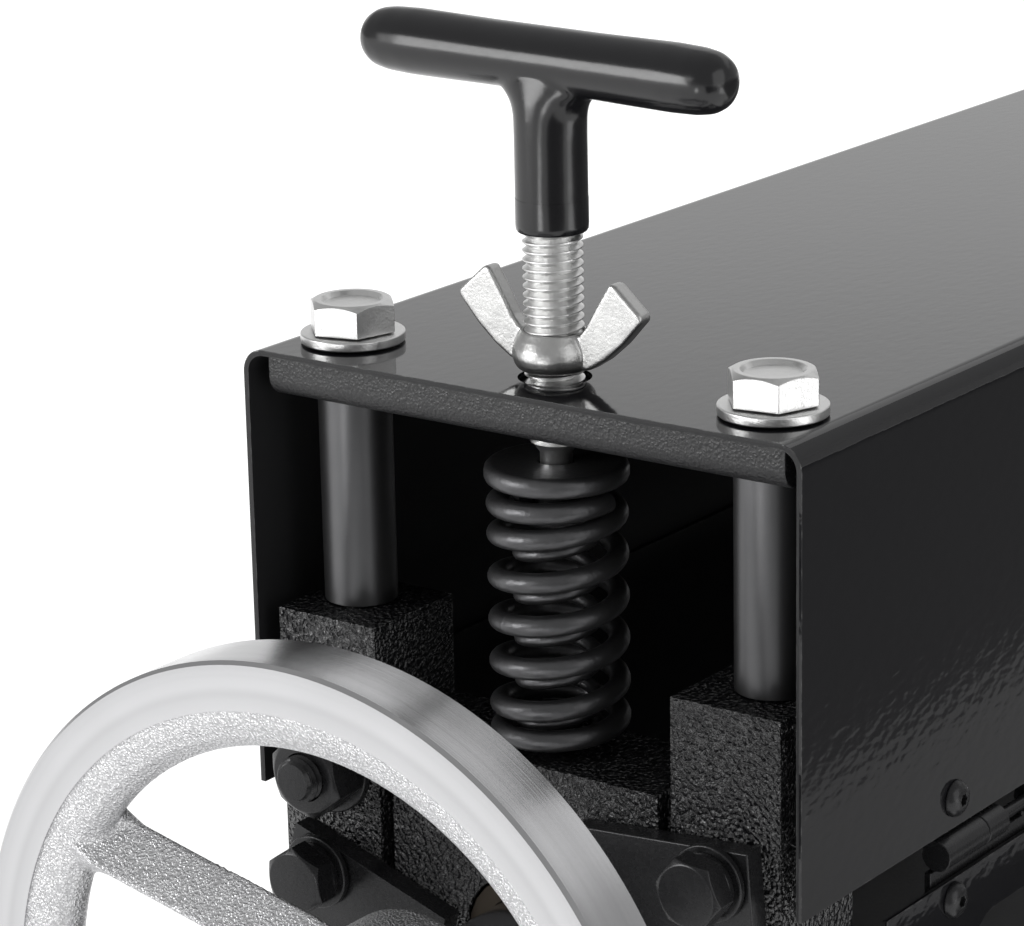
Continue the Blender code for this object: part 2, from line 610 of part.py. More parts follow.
# ---------------------------------------------------------------- fasteners on the faces
def build_keeper(end, side, name, bolt_x, drop, tilt):
    """A bar on one bolt that laps over the bearing block and keeps it in its slot."""
    inwards = -math.copysign(1.0, bolt_x)
    start, stop = sorted((-inwards * KEEPER_SPAN[0], inwards * KEEPER_SPAN[1]))
    down, up = -KEEPER_RISE[0], KEEPER_RISE[1]
    face = END_REACH + GAP
    low, high = sorted((side * face, side * (face + KEEPER_T)))
    bar = prism([(start, down), (stop, down), (stop, up), (start, up)], low, high, "Y")
    plate = cut(bar, [lying(KEEPER_HOLE_R, low - PAST, high + PAST)])
    plate.transform(Matrix.Rotation(-tilt, 4, "Y"))
    spot = (bolt_x, plane_of(side), TOP_Z - drop)
    place(f"{end}_{name}_keeper", plate, spot, "black_steel")
    under = face + KEEPER_T + GAP
    shank_r, _, flats, head_height, washer_r, washer_t = M8
    lay = Matrix.Rotation(math.radians(-90 * side), 4, "X")
    shank = rod(shank_r, END_REACH - KEEPER_HOLE + PAST, under + PAST, 16, lay)
    washer = rod(washer_r, under, under + washer_t, 20, lay)
    head = hexagon(flats, under + KEEPER_HEAD - head_height, under + KEEPER_HEAD, lay)
    place(f"{end}_{name}_keeper_bolt", fused(head, [washer, shank]), spot, "black_steel")


def build_stud():
    """The front frame's stud, with its nut and washer run up against the casting."""
    spot = (STUD_X, FRONT_Y, TOP_Z - STUD_DROP)
    face = END_REACH + GAP
    shank_r, hole_r, flats, _, _, washer_t = M10
    stud = rod(shank_r, END_REACH - STUD_HOLE + PAST, face + STUD_REACH, 16, TURNED)
    place("front_stud", stud, spot, "black_steel")
    washer = rod(STUD_WASHER_R, face, face + washer_t, 20, TURNED)
    nut = fused(hexagon(flats, face + washer_t - GAP, face + STUD_NUT, TURNED), [washer])
    bore = rod(hole_r, face - PAST, face + STUD_NUT + PAST, 16, TURNED)
    place("front_stud_nut", cut(nut, [bore]), spot, "black_steel")


def main():
    clear_scene()
    build_base()
    for end, side in ENDS.items():
        build_end_frame(end, side)
        build_block(end, side)
        build_bush(f"{end}_upper_bush", side, UPPER_AXIS_Z)
        build_bush(f"{end}_lower_bush", side, LOWER_AXIS_Z)
        build_crosshead(end, side)
        build_pressure_screw(end, side)
        for name in SPRINGS:
            build_spring(end, side, name)
        build_wing_nut(end, side)
        build_hinge(end, side)
        build_keeper(end, side, "right", *RIGHT_KEEPER)
        build_keeper(end, side, "left", *LEFT_KEEPER)
    journal = END_REACH - JOURNAL_SETBACK
    wheel_end = WHEEL_REACH - HUB_SETBACK - BUSH_SETBACK
    build_roller("upper_roller", UPPER_AXIS_Z, out(-1, wheel_end), out(1, journal))
    build_roller("lower_roller", LOWER_AXIS_Z, out(-1, journal), out(1, journal))
    build_handwheel()
    build_bed()
    build_stud()
    build_cover()
    build_guards()


main()
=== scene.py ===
"""Looks of the covered table-top etching press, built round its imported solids. Metres, +Z up."""

import math

import bmesh
import bpy
from mathutils import Matrix, Vector


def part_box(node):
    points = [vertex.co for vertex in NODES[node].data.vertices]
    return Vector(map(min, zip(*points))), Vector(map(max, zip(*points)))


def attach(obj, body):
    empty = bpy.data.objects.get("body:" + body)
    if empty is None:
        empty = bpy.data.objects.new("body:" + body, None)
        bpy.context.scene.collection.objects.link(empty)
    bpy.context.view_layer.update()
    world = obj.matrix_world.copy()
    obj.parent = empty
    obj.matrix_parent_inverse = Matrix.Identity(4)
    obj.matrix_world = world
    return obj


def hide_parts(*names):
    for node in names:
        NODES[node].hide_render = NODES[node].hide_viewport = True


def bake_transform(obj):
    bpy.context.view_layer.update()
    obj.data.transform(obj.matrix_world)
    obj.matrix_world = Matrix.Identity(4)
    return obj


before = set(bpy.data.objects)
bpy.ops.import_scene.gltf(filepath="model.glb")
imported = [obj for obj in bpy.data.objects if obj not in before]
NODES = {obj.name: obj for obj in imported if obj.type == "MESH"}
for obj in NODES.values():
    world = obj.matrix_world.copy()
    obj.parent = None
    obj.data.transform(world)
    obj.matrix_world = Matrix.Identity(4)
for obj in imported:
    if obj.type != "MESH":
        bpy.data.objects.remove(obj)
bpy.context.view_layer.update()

# ---------------------------------------------------------------- sizes that the looks need
MM = 0.001
GAP = 0.3 * MM
ENDS = {"front": -1, "rear": 1}
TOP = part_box("cover")[1].z
M8 = (3.9 * MM, 1.25 * MM)  # a thread's outside radius, a little under nominal, and its pitch
M10 = (4.9 * MM, 1.5 * MM)
SCREW_PITCH = 1.75 * MM
M8_FLATS, M10_FLATS = 13 * MM, 16 * MM  # across the flats of a hexagon
M8_BORE, M10_BORE = 4.2 * MM, 5.3 * MM  # radius of the hole in a washer or post
HALF_FRAME = 14.0 * MM  # half the thickness of an end frame
SCREW_HOLE = 6.2 * MM  # radius of the pressure screw's hole in the crosshead
QUARTER = math.radians(90)


def middle(node):
    low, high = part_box(node)
    return (low + high) / 2


PLANE = {end: middle(f"{end}_pressure_screw").y for end in ENDS}
UPPER_AXIS = middle("upper_roller").z
LOWER_AXIS = middle("lower_roller").z
BOLT_X = middle("front_post_2").x
CAP_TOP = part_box("front_spring_cap")[1].z
LAY_ON_Y = Matrix.Rotation(QUARTER, 4, "X")  # +Z of a turned shape ends up on -Y


# ---------------------------------------------------------------- mesh helpers
def tidy(bm):
    bmesh.ops.remove_doubles(bm, verts=bm.verts, dist=1e-6)
    bmesh.ops.recalc_face_normals(bm, faces=bm.faces)
    return bm


def spun(profile, steps=64, matrix=None):
    """A closed shape turned about Z from (radius, height) points."""
    bm = bmesh.new()
    verts = [bm.verts.new((radius, 0, height)) for radius, height in profile]
    edges = [bm.edges.new(pair) for pair in zip(verts, verts[1:])]
    if profile[0][0] > 0:
        edges.append(bm.edges.new((verts[-1], verts[0])))
    bmesh.ops.spin(
        bm, geom=verts + edges, axis=(0, 0, 1), cent=(0, 0, 0), angle=math.tau, steps=steps, use_merge=True
    )
    tidy(bm)
    if matrix is not None:
        bmesh.ops.transform(bm, matrix=matrix, verts=bm.verts)
    return bm


def slab(outline, low, high, along="Z"):
    """A flat outline pushed out along one axis. Its points are in axis order."""
    axis = "XYZ".index(along)
    bm = bmesh.new()
    corners = []
    for point in outline:
        spot = list(point)
        spot.insert(axis, low)
        corners.append(bm.verts.new(spot))
    push = Vector((0, 0, 0))
    push[axis] = high - low
    made = bmesh.ops.extrude_face_region(bm, geom=[bm.faces.new(corners)], use_keep_orig=True)
    bmesh.ops.translate(bm, vec=push, verts=[v for v in made["geom"] if isinstance(v, bmesh.types.BMVert)])
    return tidy(bm)


def rectangle(x, y):
    return [(x[0], y[0]), (x[1], y[0]), (x[1], y[1]), (x[0], y[1])]


def block(low, high):
    return slab(rectangle((low.x, high.x), (low.y, high.y)), low.z, high.z)


def rod(radius, low, high, steps=64):
    return spun([(0, low), (radius, low), (radius, high), (0, high)], steps)


def tube(inner, outer, low, high, steps=64):
    return spun([(inner, low), (outer, low), (outer, high), (inner, high)], steps)


def bevel(bm, edges, width, segments):
    bmesh.ops.bevel(
        bm, geom=edges, offset=width, offset_type="OFFSET", segments=segments, profile=0.5, affect="EDGES",
        clamp_overlap=True, material=-1,
    )
    return bm


def round_edges(bm, width, segments=2, angle=30.0):
    """Bevels every edge that is sharper than the angle."""
    sharp = [e for e in bm.edges if len(e.link_faces) == 2 and e.calc_face_angle(0) > math.radians(angle)]
    return bevel(bm, sharp, width, segments)


def merged(bm, *others):
    """The others' meshes added to the first one."""
    for other in others:
        mesh = bpy.data.meshes.new("part")
        other.to_mesh(mesh)
        other.free()
        bm.from_mesh(mesh)
        bpy.data.meshes.remove(mesh)
    return bm


def turn(bm, angle, axis="Z"):
    bmesh.ops.rotate(bm, cent=(0, 0, 0), matrix=Matrix.Rotation(angle, 3, axis), verts=bm.verts)
    return bm


def shift(bm, x=0.0, y=0.0, z=0.0):
    bmesh.ops.translate(bm, vec=(x, y, z), verts=bm.verts)
    return bm


def helper_object(bm):
    mesh = bpy.data.meshes.new("helper")
    bm.to_mesh(mesh)
    bm.free()
    obj = bpy.data.objects.new("helper", mesh)
    bpy.context.scene.collection.objects.link(obj)
    return obj


def applied(obj, extra=()):
    """The object's mesh with its modifiers applied, as a bmesh. The objects are removed."""
    bpy.context.view_layer.update()
    mesh = bpy.data.meshes.new_from_object(obj.evaluated_get(bpy.context.evaluated_depsgraph_get()))
    bm = bmesh.new()
    bm.from_mesh(mesh)
    for done in (obj, *extra):
        bpy.data.objects.remove(done, do_unlink=True)
    bpy.data.meshes.remove(mesh)
    return bm


def boolean(bm, others, operation):
    base = helper_object(bm)
    cutters = [helper_object(other) for other in others]
    for cutter in cutters:
        step = base.modifiers.new("cut", "BOOLEAN")
        step.operation = operation
        step.solver = "EXACT"
        step.object = cutter
    return applied(base, cutters)


def fused_soft(parts, voxel, rounds):
    """Shapes melted into one casting, with fillets where they meet."""
    base = helper_object(merged(*parts))
    remesh = base.modifiers.new("melt", "REMESH")
    remesh.mode = "VOXEL"
    remesh.voxel_size = voxel
    bm = applied(base)
    for _ in range(rounds):
        bmesh.ops.smooth_vert(
            bm, verts=bm.verts, factor=0.5, use_axis_x=True, use_axis_y=True, use_axis_z=True
        )
    return bm


def thread(radius, pitch, low, high, steps=36):
    """A V thread: one tooth carried round the helix, cut square at both ends and closed."""
    bm = bmesh.new()
    root = radius - 0.58 * pitch
    tooth = [(root, 0), (radius, 0.42 * pitch), (radius, 0.56 * pitch), (root, pitch)]
    verts = [bm.verts.new((r, 0, low - 1.5 * pitch + z)) for r, z in tooth]
    edges = [bm.edges.new(pair) for pair in zip(verts, verts[1:])]
    turns = math.ceil((high - low) / pitch) + 2
    bmesh.ops.spin(
        bm, geom=verts + edges, axis=(0, 0, 1), cent=(0, 0, 0), dvec=(0, 0, pitch / steps),
        angle=math.tau * turns, steps=steps * turns,
    )
    bmesh.ops.remove_doubles(bm, verts=bm.verts, dist=pitch * 0.01)
    for height, normal in ((low, (0, 0, -1)), (high, (0, 0, 1))):
        geom = bm.verts[:] + bm.edges[:] + bm.faces[:]
        bmesh.ops.bisect_plane(bm, geom=geom, plane_co=(0, 0, height), plane_no=normal, clear_outer=True)
        rim = [e for e in bm.edges if e.is_boundary and all(abs(v.co.z - height) < 1e-6 for v in e.verts)]
        bmesh.ops.holes_fill(bm, edges=rim)
    bmesh.ops.recalc_face_normals(bm, faces=bm.faces)
    return bm


def hex_head(flats, low, high, dish=0.0, turned_by=0.0):
    """A hexagon with a turned chamfer, and a dished top if asked."""
    corner = flats / math.sqrt(3)
    prism = bmesh.new()
    bmesh.ops.create_cone(prism, cap_ends=True, segments=6, radius1=corner, radius2=corner, depth=high - low)
    shift(prism, z=(low + high) / 2)
    turn(prism, turned_by)
    flat = 0.94 * flats / 2
    outside = corner * 1.1
    chamfer_slope = 0.58
    profile = [
        (0, low - MM), (outside, low - MM), (outside, high - (outside - flat) * chamfer_slope), (flat, high)
    ]
    if dish:
        profile += [(flat - 1.2 * MM, high + 0.01 * MM), (flat - 2.0 * MM, high - dish), (0, high - dish)]
    else:
        profile += [(flat, high + MM), (0, high + MM)]
    return round_edges(tidy(boolean(prism, [spun(profile, 72)], "INTERSECT")), 0.18 * MM, 2)


def washer(inner, outer, low, high):
    return round_edges(tube(inner, outer, low, high), 0.35 * MM, 3)


def copy_of(node, width=0.4 * MM, segments=2, angle=30.0):
    """A CAD node's own shape with merged points and rounded edges."""
    bm = bmesh.new()
    bm.from_mesh(NODES[node].data)
    bmesh.ops.remove_doubles(bm, verts=bm.verts, dist=1e-5)
    bmesh.ops.dissolve_limit(bm, angle_limit=math.radians(1), verts=bm.verts, edges=bm.edges)
    return round_edges(bm, width, segments, angle)


def piece(name, bm, body, material, replaces=(), smooth=40.0):
    """A visible piece. Edges sharper than the smooth angle stay sharp."""
    mesh = bpy.data.meshes.new(name)
    bm.to_mesh(mesh)
    bm.free()
    mesh.materials.append(material)
    mesh.shade_smooth()
    mesh.set_sharp_from_angle(angle=math.radians(smooth))
    obj = bpy.data.objects.new(name, mesh)
    bpy.context.scene.collection.objects.link(obj)
    if body:
        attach(obj, body)
    if replaces:
        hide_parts(*replaces)
    if smooth <= 50:
        obj.modifiers.new("flat_faces", "WEIGHTED_NORMAL").keep_sharp = True
    return obj


# ---------------------------------------------------------------- finishes
def new_group(name, inputs, outputs):
    group = bpy.data.node_groups.new(name, "ShaderNodeTree")
    for label, default in inputs:
        made = group.interface.new_socket(name=label, in_out="INPUT", socket_type="NodeSocketFloat")
        made.default_value = default
    for label in outputs:
        group.interface.new_socket(name=label, in_out="OUTPUT", socket_type="NodeSocketFloat")
    return group, group.nodes.new("NodeGroupInput"), group.nodes.new("NodeGroupOutput")


def add(tree, kind, inputs=None, **settings):
    """A node with its settings made, and its inputs linked or given a value."""
    node = tree.nodes.new(kind)
    for key, value in settings.items():
        setattr(node, key, value)
    for key, value in (inputs or {}).items():
        if isinstance(value, bpy.types.NodeSocket):
            tree.links.new(value, node.inputs[key])
        else:
            node.inputs[key].default_value = value
    return node


def place(tree):
    return add(tree, "ShaderNodeTexCoord").outputs["Object"]


def coordinate(tree, where, axis):
    return add(tree, "ShaderNodeSeparateXYZ", {"Vector": where}).outputs[axis]


def calc(tree, operation, a, b=0.0):
    return add(tree, "ShaderNodeMath", {0: a, 1: b}, operation=operation).outputs[0]


def spread(tree, value, low, high):
    """A 0 to 1 value laid between two others."""
    return add(tree, "ShaderNodeMapRange", {"Value": value, "To Min": low, "To Max": high}).outputs["Result"]


def noise(tree, where, scale, detail=2.0, rough=0.5, distortion=0.0):
    inputs = {"Vector": where, "Scale": scale, "Detail": detail, "Roughness": rough, "Distortion": distortion}
    return add(tree, "ShaderNodeTexNoise", inputs).outputs["Fac"]


def build_pebble():
    """Paint over sand-cast iron: rounded pebbles with smaller grit between them."""
    group, given, out = new_group("cast_pebble", [("Pebbles", 900.0), ("Grit", 0.4)], ["Height", "Pits"])
    where = place(group)
    warp_scale = calc(group, "MULTIPLY", given.outputs["Pebbles"], 0.78)
    warp = add(
        group, "ShaderNodeTexNoise", {"Vector": where, "Scale": warp_scale, "Detail": 1.0}
    ).outputs["Color"]
    reach = calc(group, "DIVIDE", 1.0, given.outputs["Pebbles"])
    pushed = add(
        group, "ShaderNodeVectorMath", {0: warp, "Scale": reach}, operation="SCALE"
    ).outputs["Vector"]
    bent = add(group, "ShaderNodeVectorMath", {0: where, 1: pushed}, operation="ADD").outputs["Vector"]
    inputs = {"Vector": bent, "Scale": given.outputs["Pebbles"], "Smoothness": 0.35}
    cells = add(group, "ShaderNodeTexVoronoi", inputs, feature="SMOOTH_F1").outputs["Distance"]
    grit = noise(group, where, calc(group, "MULTIPLY", given.outputs["Pebbles"], 1.6), 2.0)
    height = calc(group, "SUBTRACT", calc(group, "MULTIPLY", grit, given.outputs["Grit"]), cells)
    group.links.new(height, out.inputs["Height"])
    pits = add(
        group, "ShaderNodeMapRange", {"Value": cells, "From Min": 0.35, "From Max": 0.6}
    ).outputs["Result"]
    group.links.new(pits, out.inputs["Pits"])
    return group


def build_peel():
    """Orange peel in sprayed enamel, on a sheet that is never quite flat."""
    group, given, out = new_group("orange_peel", [("Cells", 420.0), ("Waves", 30.0)], ["Height", "Blotch"])
    where = place(group)
    lean = add(
        group, "ShaderNodeMapping",
        {"Vector": where, "Rotation": (0.5, 0.35, 0.0), "Scale": (1.0, 0.55, 1.0)}
    )
    cells = noise(group, lean.outputs["Vector"], given.outputs["Cells"], 1.0, 0.4)
    waves = noise(group, where, given.outputs["Waves"], 1.0)
    group.links.new(calc(group, "ADD", cells, calc(group, "MULTIPLY", waves, 0.5)), out.inputs["Height"])
    group.links.new(noise(group, where, 14.0, 3.0), out.inputs["Blotch"])
    return group


def build_wear():
    """Where an edge has been handled: a ragged line along it."""
    group, given, out = new_group("edge_wear", [("Reach", 0.0006), ("Ragged", 0.5)], ["Mask"])
    rounded = add(group, "ShaderNodeBevel", {"Radius": given.outputs["Reach"]}, samples=4).outputs["Normal"]
    normal = add(group, "ShaderNodeNewGeometry").outputs["Normal"]
    dot = add(
        group, "ShaderNodeVectorMath", {0: rounded, 1: normal}, operation="DOT_PRODUCT"
    ).outputs["Value"]
    edge = add(
        group, "ShaderNodeMapRange", {"Value": dot, "From Min": 0.995, "From Max": 0.93}
    ).outputs["Result"]
    where = place(group)
    ragged = noise(group, where, 420.0, 4.0)
    ragged = add(
        group, "ShaderNodeMapRange", {"Value": ragged, "From Min": given.outputs["Ragged"], "From Max": 0.75}
    ).outputs["Result"]
    group.links.new(calc(group, "MULTIPLY", edge, ragged), out.inputs["Mask"])
    return group


def build_grind():
    """Fine parallel tool lines. Across is the coordinate that the lines step along."""
    group, given, out = new_group("tool_lines", [("Across", 0.0), ("Lines", 3000.0)], ["Height", "Shade"])
    step = calc(group, "MULTIPLY", given.outputs["Across"], given.outputs["Lines"])
    fine = add(group, "ShaderNodeTexNoise", {"W": step, "Scale": 1.0, "Detail": 3.0}, noise_dimensions="1D")
    broad_step = calc(group, "MULTIPLY", step, 0.08)
    broad = add(
        group, "ShaderNodeTexNoise", {"W": broad_step, "Scale": 1.0, "Detail": 2.0}, noise_dimensions="1D"
    )
    group.links.new(fine.outputs["Fac"], out.inputs["Height"])
    group.links.new(broad.outputs["Fac"], out.inputs["Shade"])
    return group


PEBBLE, PEEL, WEAR, GRIND = build_pebble(), build_peel(), build_wear(), build_grind()


def use_group(tree, group, **inputs):
    return add(tree, "ShaderNodeGroup", inputs, node_tree=group)


def finish(name, colour, roughness, metallic=0.0, **fixed):
    """A Principled material, its tree and its shader. The values given hold all over the piece."""
    material = bpy.data.materials.new(name)
    material.use_nodes = True
    shader = material.node_tree.nodes["Principled BSDF"]
    shader.inputs["Base Color"].default_value = (*colour, 1.0)
    shader.inputs["Roughness"].default_value = roughness
    shader.inputs["Metallic"].default_value = metallic
    for key, value in fixed.items():
        shader.inputs[key.replace("_", " ")].default_value = value
    material.diffuse_color = (*colour, 1.0)
    return material, material.node_tree, shader


def tint(tree, shader, mask, one, other):
    """Base colour that goes from one to the other with the mask."""
    mix = add(tree, "ShaderNodeMix", {"Factor": mask}, data_type="RGBA")
    colours = [s for s in mix.inputs if s.type == "RGBA"]
    colours[0].default_value, colours[1].default_value = (*one, 1.0), (*other, 1.0)
    result = [s for s in mix.outputs if s.type == "RGBA"][0]
    tree.links.new(result, shader.inputs["Base Color"])


def bump(tree, shader, height, depth, strength=1.0):
    made = add(tree, "ShaderNodeBump", {"Height": height, "Distance": depth, "Strength": strength})
    tree.links.new(made.outputs["Normal"], shader.inputs["Normal"])


def cast_paint():
    material, tree, shader = finish(
        "textured_black_paint", (0.012, 0.012, 0.013), 0.3, Specular_IOR_Level=0.9
    )
    pebble = use_group(tree, PEBBLE, Pebbles=1000.0, Grit=0.4)
    wear = use_group(tree, WEAR, Reach=0.0005, Ragged=0.58).outputs["Mask"]
    tint(tree, shader, wear, (0.006, 0.006, 0.007), (0.05, 0.05, 0.052))
    tree.links.new(spread(tree, pebble.outputs["Pits"], 0.10, 0.24), shader.inputs["Roughness"])
    bump(tree, shader, pebble.outputs["Height"], 0.00100, 1.0)
    return material


def bar_paint():
    material, tree, shader = finish("satin_black_paint", (0.012, 0.012, 0.013), 0.33)
    pebble = use_group(tree, PEBBLE, Pebbles=1500.0, Grit=0.8)
    wear = use_group(tree, WEAR, Reach=0.0006, Ragged=0.55).outputs["Mask"]
    tint(tree, shader, wear, (0.010, 0.010, 0.011), (0.07, 0.07, 0.072))
    tree.links.new(spread(tree, pebble.outputs["Pits"], 0.30, 0.48), shader.inputs["Roughness"])
    bump(tree, shader, pebble.outputs["Height"], 0.00018, 0.8)
    return material


def sheet_paint():
    material, tree, shader = finish("gloss_black_enamel", (0.006, 0.006, 0.007), 0.12)
    peel = use_group(tree, PEEL, Cells=520.0, Waves=20.0)
    wear = use_group(tree, WEAR, Reach=0.0004, Ragged=0.45).outputs["Mask"]
    tint(tree, shader, wear, (0.005, 0.005, 0.006), (0.10, 0.10, 0.10))
    where = add(tree, "ShaderNodeSeparateXYZ", {"Vector": place(tree)})
    wall, under = 65.4 * MM, TOP - 0.6 * MM
    between_walls = calc(tree, "LESS_THAN", calc(tree, "ABSOLUTE", where.outputs["X"]), wall)
    inside = calc(tree, "MULTIPLY", between_walls, calc(tree, "LESS_THAN", where.outputs["Z"], under))
    rough = calc(
        tree, "ADD", spread(tree, peel.outputs["Blotch"], 0.05, 0.10), calc(tree, "MULTIPLY", inside, 0.55)
    )
    tree.links.new(rough, shader.inputs["Roughness"])
    on_top = calc(tree, "GREATER_THAN", where.outputs["Z"], TOP - 2 * MM)
    bump(
        tree, shader, calc(tree, "MULTIPLY", peel.outputs["Height"], spread(tree, on_top, 1.0, 0.3)),
        0.00005, 1.0
    )
    return material


def vinyl():
    material, tree, shader = finish("dipped_black_vinyl", (0.008, 0.008, 0.009), 0.30)
    where = place(tree)
    runs = noise(tree, where, 90.0, 2.0)
    specks = noise(tree, where, 1400.0, 2.0)
    tint(tree, shader, noise(tree, where, 40.0, 3.0), (0.004, 0.004, 0.005), (0.009, 0.009, 0.010))
    tree.links.new(spread(tree, specks, 0.15, 0.24), shader.inputs["Roughness"])
    bump(tree, shader, calc(tree, "ADD", runs, calc(tree, "MULTIPLY", specks, 0.03)), 0.00018, 0.7)
    return material


def zinc(name, dark, light):
    material, tree, shader = finish(name, light, 0.28, 1.0)
    where = place(tree)
    bloom = noise(tree, where, 300.0, 4.0, 0.6)
    grain = noise(tree, where, 1800.0, 2.0)
    tint(tree, shader, bloom, dark, light)
    tree.links.new(spread(tree, bloom, 0.24, 0.42), shader.inputs["Roughness"])
    bump(tree, shader, calc(tree, "ADD", bloom, calc(tree, "MULTIPLY", grain, 0.5)), 0.00012, 0.7)
    return material


def dark_steel(name, dark, light, low, high, depth, shine, worn=1.0):
    material, tree, shader = finish(name, dark, low, shine)
    where = place(tree)
    scale = noise(tree, where, 700.0, 4.0, 0.6)
    cloud = noise(tree, where, 120.0, 3.0)
    wear = use_group(tree, WEAR, Reach=0.0004, Ragged=0.5).outputs["Mask"]
    mask = calc(tree, "ADD", calc(tree, "MULTIPLY", cloud, 0.45), calc(tree, "MULTIPLY", wear, worn))
    mask = calc(tree, "MINIMUM", mask, 1.0)
    tint(tree, shader, mask, dark, light)
    tree.links.new(spread(tree, scale, low, high), shader.inputs["Roughness"])
    bump(tree, shader, scale, depth, 0.8)
    return material


def turned_steel(name, colour, height, rough):
    """Bright steel with tool lines round an axis along Y at that height."""
    material, tree, shader = finish(name, colour, rough, 1.0)
    where = place(tree)
    centred = add(tree, "ShaderNodeMapping", {"Vector": where, "Location": (0, 0, -height)}).outputs["Vector"]
    flat = add(tree, "ShaderNodeMapping", {"Vector": centred, "Scale": (1, 0, 1)}).outputs["Vector"]
    radius = add(tree, "ShaderNodeVectorMath", {0: flat}, operation="LENGTH").outputs["Value"]
    along = coordinate(tree, where, "Y")
    lines = use_group(tree, GRIND, Across=calc(tree, "ADD", radius, along), Lines=2600.0)
    cloud = noise(tree, where, 60.0, 3.0)
    dark, light = [c * 0.80 for c in colour], [min(1, c * 1.12) for c in colour]
    tint(tree, shader, lines.outputs["Shade"], dark, light)
    tree.links.new(spread(tree, cloud, rough * 0.7, rough * 1.5), shader.inputs["Roughness"])
    bump(tree, shader, lines.outputs["Height"], 0.00002, 0.8)
    return material


def bed_steel():
    material, tree, shader = finish("ground_bed_steel", (0.62, 0.62, 0.63), 0.25, 1.0)
    where = place(tree)
    across = coordinate(tree, where, "Y")
    lines = use_group(tree, GRIND, Across=across, Lines=1800.0)
    scratches = add(
        tree, "ShaderNodeMapping", {"Vector": where, "Rotation": (0, 0, 0.3), "Scale": (12, 900, 900)}
    )
    marks = noise(tree, scratches.outputs["Vector"], 1.0, 2.0)
    tint(tree, shader, lines.outputs["Shade"], (0.50, 0.50, 0.51), (0.70, 0.70, 0.71))
    tree.links.new(spread(tree, marks, 0.18, 0.36), shader.inputs["Roughness"])
    bump(tree, shader, lines.outputs["Height"], 0.00002, 0.8)
    return material


def wheel_casting():
    material, tree, shader = finish("rough_silver_casting", (0.72, 0.72, 0.73), 0.36, 1.0)
    pebble = use_group(tree, PEBBLE, Pebbles=2000.0, Grit=0.9)
    # The pits between the pebbles are painted darker: painted shade in the casting's hollows.
    tint(tree, shader, pebble.outputs["Pits"], (0.76, 0.76, 0.77), (0.52, 0.52, 0.53))
    tree.links.new(spread(tree, pebble.outputs["Pits"], 0.26, 0.42), shader.inputs["Roughness"])
    bump(tree, shader, pebble.outputs["Height"], 0.00024, 1.0)
    return material


def felt():
    material, tree, shader = finish(
        "pressed_wool_felt", (0.06, 0.06, 0.062), 0.95, Sheen_Weight=0.15, Sheen_Roughness=0.5
    )
    where = place(tree)
    pull = add(
        tree, "ShaderNodeMapping", {"Vector": where, "Scale": (0.5, 1.6, 1.0), "Rotation": (0, 0, 0.4)}
    )
    fibres = noise(tree, pull.outputs["Vector"], 1700.0, 6.0, 0.7, 2.5)
    cloud = noise(tree, where, 60.0, 4.0)
    mask = calc(tree, "ADD", calc(tree, "MULTIPLY", fibres, 0.6), calc(tree, "MULTIPLY", cloud, 0.4))
    tint(tree, shader, mask, (0.035, 0.035, 0.037), (0.085, 0.085, 0.088))
    bump(tree, shader, calc(tree, "ADD", fibres, calc(tree, "MULTIPLY", cloud, 2.0)), 0.0005, 0.9)
    return material


def rubber():
    material, tree, shader = finish("black_rubber", (0.02, 0.02, 0.02), 0.75)
    where = place(tree)
    grain = noise(tree, where, 1300.0, 3.0)
    dust = noise(tree, where, 45.0, 5.0, 0.6)
    tint(tree, shader, dust, (0.014, 0.014, 0.014), (0.045, 0.044, 0.042))
    tree.links.new(spread(tree, dust, 0.62, 0.85), shader.inputs["Roughness"])
    bump(tree, shader, grain, 0.00015, 0.8)
    return material


CAST, BAR, SHEET, VINYL = cast_paint(), bar_paint(), sheet_paint(), vinyl()
ZINC = zinc("bright_zinc", (0.60, 0.60, 0.60), (0.82, 0.82, 0.81))
DULL_ZINC = zinc("dull_zinc", (0.40, 0.40, 0.40), (0.60, 0.60, 0.59))
POST_STEEL = dark_steel(
    "dark_drawn_steel", (0.10, 0.10, 0.103), (0.15, 0.15, 0.153), 0.34, 0.40, 0.00001, 0.95, 0.0
)
SPRING_STEEL = dark_steel(
    "blackened_spring_steel", (0.075, 0.075, 0.078), (0.19, 0.19, 0.195), 0.28, 0.44, 0.00016, 0.85
)
OIL_BLACK = dark_steel(
    "oil_black_steel", (0.010, 0.010, 0.011), (0.045, 0.045, 0.047), 0.20, 0.34, 0.00004, 0.4
)
RIM_STEEL = turned_steel("machined_rim", (0.56, 0.56, 0.57), UPPER_AXIS, 0.20)
WHEEL_CAST, BED_STEEL, FELT, RUBBER = wheel_casting(), bed_steel(), felt(), rubber()
UPPER_STEEL = turned_steel("ground_upper_roller", (0.66, 0.66, 0.67), UPPER_AXIS, 0.20)
LOWER_STEEL = turned_steel("ground_lower_roller", (0.66, 0.66, 0.67), LOWER_AXIS, 0.20)
BRONZE = turned_steel("sintered_bronze", (0.05, 0.042, 0.034), UPPER_AXIS, 0.42)


